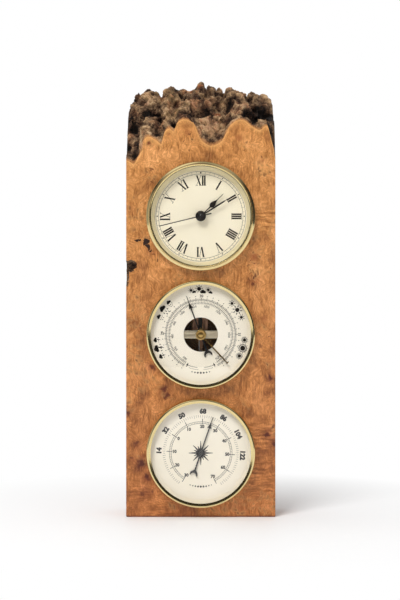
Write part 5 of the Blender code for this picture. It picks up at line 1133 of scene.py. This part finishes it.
def cloudOutlines(x, y, size):
    puffs = ((0.42, -0.55, 0, 16), (0.62, -0.05, 0.28, 18), (0.45, 0.6, 0.05, 16))
    base = ((-0.9, -0.4), (0.95, -0.4), (0.9, 0), (-0.9, 0))
    outlines = [disc(radius * size, x + across * size, y + up * size, count)
                for radius, across, up, count in puffs]
    return outlines + [[(x + across * size, y + up * size) for across, up in base]]


lightning = [(0.3, 0.1), (-0.9, -1.5), (-0.1, -1.4), (-0.7, -3.0), (1.0, -1.0), (0.2, -1.1), (1.0, 0.1)]
pictures = {
    -108: cloudOutlines(0, 1.0, 1.9) + [lightning] + drops([(-1.7, -0.9), (1.7, -1.1)], 1.1, 0.5),
    -56: cloudOutlines(0, 1.0, 1.9)
         + drops([(-1.5, -0.9), (0, -1.1), (1.5, -0.9), (-0.8, -2.3), (0.8, -2.4)], 1.2, 0.55),
    0: [disc(1.1, -0.9, 0.9, 16)] + sunRays(9, 1.4, 2.5, 0.5, -0.9, 0.9) + cloudOutlines(1.2, -0.9, 1.5),
    56: [disc(1.2, count=18)] + sunRays(8, 1.6, 2.9, 0.8),
    108: [disc(1.4, count=18)] + sunRays(12, 1.7, 2.6, 0.55) + sunRays(12, 1.7, 3.3, 0.45, start=15, end=375),
}
for middle, outlines in pictures.items():
    for degrees, size in ((middle, v["pictureSize"]), (middle - v["besides"], 1), (middle + v["besides"], 1)):
        drawn = [inMm((x * size, y * size) for x, y in outline) for outline in outlines]
        inkAt(shape, drawn, top, degrees, v["pictures"])
# end stops of the scale and a small ornament between them
stop = v["stop"]
for side in (-1, 1):
    for radius, width, start, end in v["footArcs"]:
        inkRing(shape, radius, width, top, side * start, side * end)
    inkAt(shape, [disc(stop["disc"]), bar(0, -stop["half"], stop["half"], stop["width"])], top,
          side * stop["at"], v["footArcs"][0][0])
inkLozenges(shape, top, *v["lozenges"])
printOn("barometer", shape)

# Thermometer: Celsius inside the double arc, Fahrenheit outside it, and a star of sixteen points
thermoPrint = {
    "innerArc": 23.0 * mm, "outerArc": 24.4 * mm, "line": 0.24 * mm, "start": -147.0, "perDegree": 3.0,
    "coldest": -30, "hottest": 70, "fahrenheitFrom": -20, "fahrenheitTo": 158, "turn": 148,
    "fahrenheitNumbers": (14, 32, 50, 68, 86, 104, 122),
    # marks: how far past the arcs, and widths
    "tenIn": 0.8 * mm, "tenOut": 2.3 * mm, "ten": 0.45 * mm, "degree": 0.18 * mm, "fineLong": 0.6 * mm,
    "fine": 0.2 * mm, "fineIn": 27.7 * mm, "fineOut": 29.6 * mm,
    "celsius": 20.6 * mm, "celsiusSize": 3.3 * mm, "celsiusBold": 0.17 * mm,
    "fahrenheit": 32.4 * mm, "fahrenheitSize": 5.0 * mm, "fahrenheitBold": 0.34 * mm,
    "rays": (9.4, 5.8, 8.4, 5.8), "ray": ((-0.85, 1.8), (0, 0.5), (0.85, 1.8)), "rayTip": 0.17,
    "hub": (2.0 * mm, 0.9 * mm),                # a ring: its radius and width
    "lozenges": (26.2 * mm, 4, 4.6, 0.13),      # how far out, each side, degrees between, shrinking
}
v = thermoPrint


def fahrenheitAngle(degrees):
    return v["start"] + ((degrees - 32) / 1.8 - v["coldest"]) * v["perDegree"]


shape = bmesh.new()
top = dialValues["thermometer"]["top"] * mm
end = v["start"] + (v["hottest"] - v["coldest"]) * v["perDegree"]
for radius in (v["innerArc"], v["outerArc"]):
    inkRing(shape, radius, v["line"], top, v["start"], end)
for celsius in range(v["coldest"], v["hottest"] + 1):
    angle = v["start"] + (celsius - v["coldest"]) * v["perDegree"]
    if celsius % 10 == 0:
        inkAt(shape, [bar(0, v["innerArc"] - v["tenIn"], v["outerArc"] + v["tenOut"], v["ten"])], top, angle)
        inkNumber(shape, str(abs(celsius)), v["celsiusSize"], top, angle, v["celsius"], upright=0,
                  bold=v["celsiusBold"])
    else:
        inkAt(shape, [bar(0, v["innerArc"], v["outerArc"], v["degree"])], top, angle)
for fahrenheit in range(v["fahrenheitFrom"], v["fahrenheitTo"] + 1, 2):
    angle = fahrenheitAngle(fahrenheit)
    if abs(angle) < v["turn"]:
        long = 0 if fahrenheit % 10 else v["fineLong"]
        inkAt(shape, [bar(0, v["fineIn"] - long, v["fineOut"], v["fine"])], top, angle)
for fahrenheit in v["fahrenheitNumbers"]:
    inkNumber(shape, str(fahrenheit), v["fahrenheitSize"], top, fahrenheitAngle(fahrenheit), v["fahrenheit"],
              bold=v["fahrenheitBold"])
for i in range(16):
    long = v["rays"][i % 4]
    inkAt(shape, [inMm([*v["ray"], (v["rayTip"], long), (-v["rayTip"], long)])], top, 22.5 * i)
inkRing(shape, *v["hub"], top)
inkLozenges(shape, top, *v["lozenges"])
printOn("thermometer", shape)
print("dials printed")


# Hands

# outlines of right halves, from the tip down, in mm; the left half mirrors them
handValues = {
    "hour": {"height": 0.6, "thick": 0.4, "angle": 45.4, "hub": 3.0, "hole": 1.9,
             "half": ((0.18, 24.6), (0.28, 18.2), (0.6, 16.9), (1.25, 15.3), (1.8, 14.2), (2.05, 13.2),
                      (2.0, 12.2), (1.65, 11.3), (1.1, 10.8), (0.62, 10.5), (0.43, 9.9), (0.42, 3.6))},
    "minute": {"height": 1.9, "thick": 0.4, "angle": 57.7, "hub": 2.7, "hole": 1.3,
               "half": ((0.1, 33.4), (0.22, 22.6), (0.36, 22.2), (0.55, 20.9), (0.6, 18.5), (0.57, 15.0),
                        (0.48, 3.6))},
    "second": {"height": 3.2, "thick": 0.4, "angle": 256.3, "cap": 4.1,
               "half": ((0.32, 33.4), (0.4, 0.0), (0.46, -8.5))},
    "bevel": 0.05 * mm,
}


def mirroredOutline(half, hub=None):
    right, left = inMm(half), inMm([(-x, y) for x, y in reversed(half)])
    if not hub:
        return right + left
    start = math.asin(min(1, half[-1][0] / hub))
    angles = [start + (2 * math.pi - 2 * start) * i / 40 for i in range(41)]
    return right + [(hub * mm * math.sin(a), hub * mm * math.cos(a)) for a in angles] + left


def pierced(shape, name, radius, low, high):
    mesh = bpy.data.meshes.new(name)
    shape.to_mesh(mesh)
    shape.free()
    holder = bpy.data.objects.new(name, mesh)
    scene.collection.objects.link(holder)
    tool = bmesh.new()
    bmesh.ops.create_cone(tool, cap_ends=True, segments=32, radius1=radius, radius2=radius, depth=high - low)
    bmesh.ops.translate(tool, verts=tool.verts, vec=(0, 0, (high + low) / 2))
    cutWith(holder, name + "Hole", tool, 0)
    result = bmesh.new()
    result.from_mesh(holder.data)
    mesh = holder.data
    bpy.data.objects.remove(holder)
    bpy.data.meshes.remove(mesh)
    return result


for which in ("hour", "minute"):
    v = handValues[which]
    top = (v["height"] + v["thick"]) * mm
    shape = sheetShape(mirroredOutline(v["half"], v["hub"]), top, v["thick"] * mm)
    shape = pierced(shape, which, v["hole"] * mm, top - 2 * mm, top + 2 * mm)
    bevelSharp(shape, handValues["bevel"], 1, 40)
    turnHand(shape, v["angle"])
    addPiece(which + "_hand_blade", shape, blackHand, which + "_hand", [which + "_hand"],
             clockPlace)

v = handValues["second"]
low, high = v["height"], v["height"] + v["thick"]
shape = sheetShape(mirroredOutline(v["half"]), high * mm, v["thick"] * mm, handValues["bevel"])
cap = v["cap"]
section = [(0, high + 0.42), (0.6, high + 0.4), (0.95, high + 0.3), (1.1, high + 0.16), (1.75, high + 0.16),
           (1.9, high + 0.26), (3.3, high + 0.26), (3.75, high + 0.18), (4.02, high), (cap, high - 0.2),
           (cap, low - 0.2), (3.7, low - 0.2), (3.5, low), (0, low)]
merge(shape, spunShape(inMm(section), 64))
turnHand(shape, v["angle"])
addPiece("second_hand_sweep", shape, blackHand, "second_hand", ["second_hand"], clockPlace)

# Needles with an arrowhead and an open crescent on the tail. The crescent's arcs are given as
# angles, and its inner side and its notch in shares of its horn.
needleValues = {
    "pressure": {"insert": "barometer", "length": 32.0, "head": 22.3, "tail": 13.4, "angle": -20.4,
                 "horn": 3.3},
    "temperature": {"insert": "thermometer", "length": 29.6, "head": 21.0, "tail": 14.3, "angle": 18.8,
                    "horn": 3.1},
}
needleForm = {
    "outerArc": (0.5, 0.8, 1.1, 1.4, 1.7, 1.95), "innerArc": (1.55, 1.2, 0.8, 0.4),
    "inner": (0.70, 1.28, 0.66), "notch": 0.62, "top": 3.1, "thick": 0.4,
    "cap": ((0, 3.45), (0.55, 3.42), (0.85, 3.3), (0.95, 3.1), (0.95, 3.0), (0, 3.0)),
}
form = needleForm
for which, v in needleValues.items():
    length, head, tail, horn = v["length"], v["head"], v["tail"], v["horn"]
    wide, down, high = form["inner"]
    half = [(0.2, length), (0.34, head + 3.2), (0.75, head + 1.8), (1.75, head - 0.9), (0.46, head - 0.3),
            (0.52, 1.6), (1.3, 1.1), (1.6, 0.0), (1.3, -1.1), (0.52, -1.6), (0.58, -tail + 0.6),
            (1.1, -tail + 0.05)]
    half += [(horn * math.sin(a), -tail - horn + horn * math.cos(a)) for a in form["outerArc"]]
    half += [(wide * horn * math.sin(a), -tail - down * horn + high * horn * math.cos(a))
             for a in form["innerArc"]]
    outline = half + [(0.0, -tail - form["notch"] * horn)] + [(-x, y) for x, y in reversed(half)]
    shape = sheetShape(inMm(outline), form["top"] * mm, form["thick"] * mm, handValues["bevel"])
    merge(shape, spunShape(inMm(form["cap"]), 32))
    turnHand(shape, v["angle"])
    addPiece(which + "_needle", shape, blackHand, which + "_hand", [which + "_hand"],
             instruments[v["insert"]]["place"])

# Brass set hand with a small bar at its end, and the knurled knob that turns it
setValues = {
    "angle": 136.9, "height": 3.8, "thick": 0.4, "length": 30.6, "hub": 1.4,
    "knob": ((0, 10.2), (0.5, 10.15), (1.9, 9.6), (2.15, 9.62), (2.3, 9.85), (2.45, 10.25), (2.7, 10.58),
             (3.0, 10.74), (3.3, 10.78), (3.6, 10.7), (3.85, 10.5), (4.05, 10.2), (4.12, 9.9), (4.15, 8.9),
             (3.95, 8.3), (3.55, 7.8), (3.45, 7.2), (3.6, 6.75), (3.55, 6.6), (1.4, 6.6), (1.4, 4.5),
             (0, 4.5)),
    # knurling: grooves round the widest part, outside a radius and above a height
    "grooves": 32, "grooveDepth": 0.03, "grooveRadius": 3.9 * mm, "grooveHeight": 8 * mm,
}
v = setValues
half = [(0.95, v["length"]), (0.95, v["length"] - 0.7), (0.42, v["length"] - 0.7), (0.7, 1.2)]
shape = sheetShape(mirroredOutline(half, v["hub"]), (v["height"] + v["thick"]) * mm, v["thick"] * mm,
                   handValues["bevel"])
turnHand(shape, v["angle"])
addPiece("set_hand_blade", shape, agedBrass, "set_hand", ["set_hand"], baroPlace)
shape = spunShape(inMm(v["knob"]), 96)
for vert in shape.verts:
    radius = math.hypot(vert.co.x, vert.co.y)
    if radius > v["grooveRadius"] and vert.co.z > v["grooveHeight"]:
        groove = 0.5 + 0.5 * math.cos(v["grooves"] * math.atan2(vert.co.y, vert.co.x))
        share = 1 - v["grooveDepth"] * groove
        vert.co.x *= share
        vert.co.y *= share
addPiece("set_knob_turned", shape, brass, "set_hand", ["set_knob"], baroPlace, sharpAngle=40)
print("hands ready")


# The aneroid movement

# Capsule: two thin corrugated dishes soldered at their rims, a post in the middle
capsuleValues = {
    "radius": 15.5, "top": -13.7, "bottom": -17.0, "wave": 0.34, "pitch": 2.35, "flat": 3.2, "rim": 14.6,
    "postTop": -12.6, "post": 2.0, "footBottom": -17.6, "foot": 2.0, "seam": 0.3,
}
v = capsuleValues


def waved(height, outwards):
    points = []
    radius = v["flat"]
    while radius <= v["rim"]:
        turn = 2 * math.pi * (radius - v["flat"]) / v["pitch"]
        points.append((radius, height + outwards * v["wave"] * (1 - math.cos(turn))))
        radius += v["pitch"] / 10
    return points


middle, post, foot, seam = (v["top"] + v["bottom"]) / 2, v["post"], v["foot"], v["seam"]
section = [(0, v["postTop"]), (post - 0.2, v["postTop"]), (post, v["postTop"] - 0.2), (post, v["top"] + 0.1),
           (post + 0.3, v["top"])]
section += waved(v["top"], -1)
section += [(v["rim"] + 0.2, middle + seam), (v["radius"] - 0.1, middle + seam),
            (v["radius"], middle + seam - 0.1), (v["radius"], middle - seam + 0.1),
            (v["radius"] - 0.1, middle - seam), (v["rim"] + 0.2, middle - seam)]
section += reversed(waved(v["bottom"], 1))
section += [(foot + 0.3, v["bottom"]), (foot, v["bottom"] - 0.1), (foot, v["footBottom"] + 0.15),
            (foot - 0.15, v["footBottom"]), (0, v["footBottom"])]
addPiece("capsule_corrugated", spunShape(inMm(section), 120), capsuleShadedBronze, "barometer_insert",
         ["aneroid_capsule"], baroPlace, sharpAngle=50)


# Parts whose packed form is right: the same form with its edges eased, in mm
def easedCopy(node, width, segments):
    shape = bmesh.new()
    shape.from_mesh(cadNodes[node].data)
    bmesh.ops.remove_doubles(shape, verts=shape.verts, dist=0.002 * mm)
    bmesh.ops.recalc_face_normals(shape, faces=shape.faces)
    bmesh.ops.dissolve_limit(shape, angle_limit=math.radians(1.5), verts=shape.verts, edges=shape.edges)
    bevelSharp(shape, width * mm, segments)
    return shape


# node: body, slot, finish and width of the eased edge
easedParts = {
    "arbor_bridge": ("barometer_insert", "nickel_sheet", nickel, 0.14),
    "left_bridge_screw": ("barometer_insert", "steel", steel, 0.08),
    "right_bridge_screw": ("barometer_insert", "steel", steel, 0.08),
    "left_pillar": ("barometer_insert", "brass", brass, 0.12),
    "right_pillar": ("barometer_insert", "brass", brass, 0.12),
    "main_lever": ("main_lever", "brown_copper", bronzed, 0.08),
    "main_spring": ("barometer_insert", "steel", springSteelShadedDark, 0.15),
    "base_plate": ("barometer_insert", "nickel_sheet", nickel, 0.12),
    "rocking_shaft": ("rocking_shaft", "steel", steel, 0.04),
    "adjusting_screw": ("adjusting_screw", "steel", steel, 0.1),
    "coil_bracket": ("thermometer_insert", "brass", brass, 0.12),
    "dial_nut": ("clock_insert", "brass", brass, 0.1),
    "movement_front_cover": ("clock_insert", "black_plastic", blackPlastic, 0.35),
    "movement_rear_cover": ("clock_insert", "black_plastic", blackPlastic, 0.3),
    "train_plate": ("clock_insert", "pale_plastic", paleAcetal, 0.12),
    "battery_cell": ("clock_insert", "cell_jacket", cellJacket, 0.3),
    "setting_knob": ("setting_knob", "black_plastic", blackPlastic, 0.2),
}
for node, (body, slotName, finish, width) in easedParts.items():
    shape = easedCopy(node, width, 2 if width > 0.12 else 1)
    addPiece(node + "_eased", shape, finish, body, [node])

# Everything else keeps its packed form and takes its finish from its slot
finishes = {
    "gilt_brass": giltBrass, "pale_gilt": paleGilt, "brass": brass, "brown_copper": bronzed,
    "nickel_sheet": nickel, "steel": steel, "black_metal": blackHand, "tinned_steel": tinned,
    "black_plastic": blackPlastic, "pale_plastic": paleAcetal, "rubber": rubber, "copper_winding": copperWire,
    "circuit_board": boardGreen, "cell_jacket": cellJacket, "cream_enamel": paleFace, "clear_glass": glass,
    "burr_wood": wood,
}
for node in cadNodes.values():
    for slot in node.material_slots:
        slot.material = finishes[slot.material.name.split(".")[0]]
print("movements ready")


print("all pieces ready")
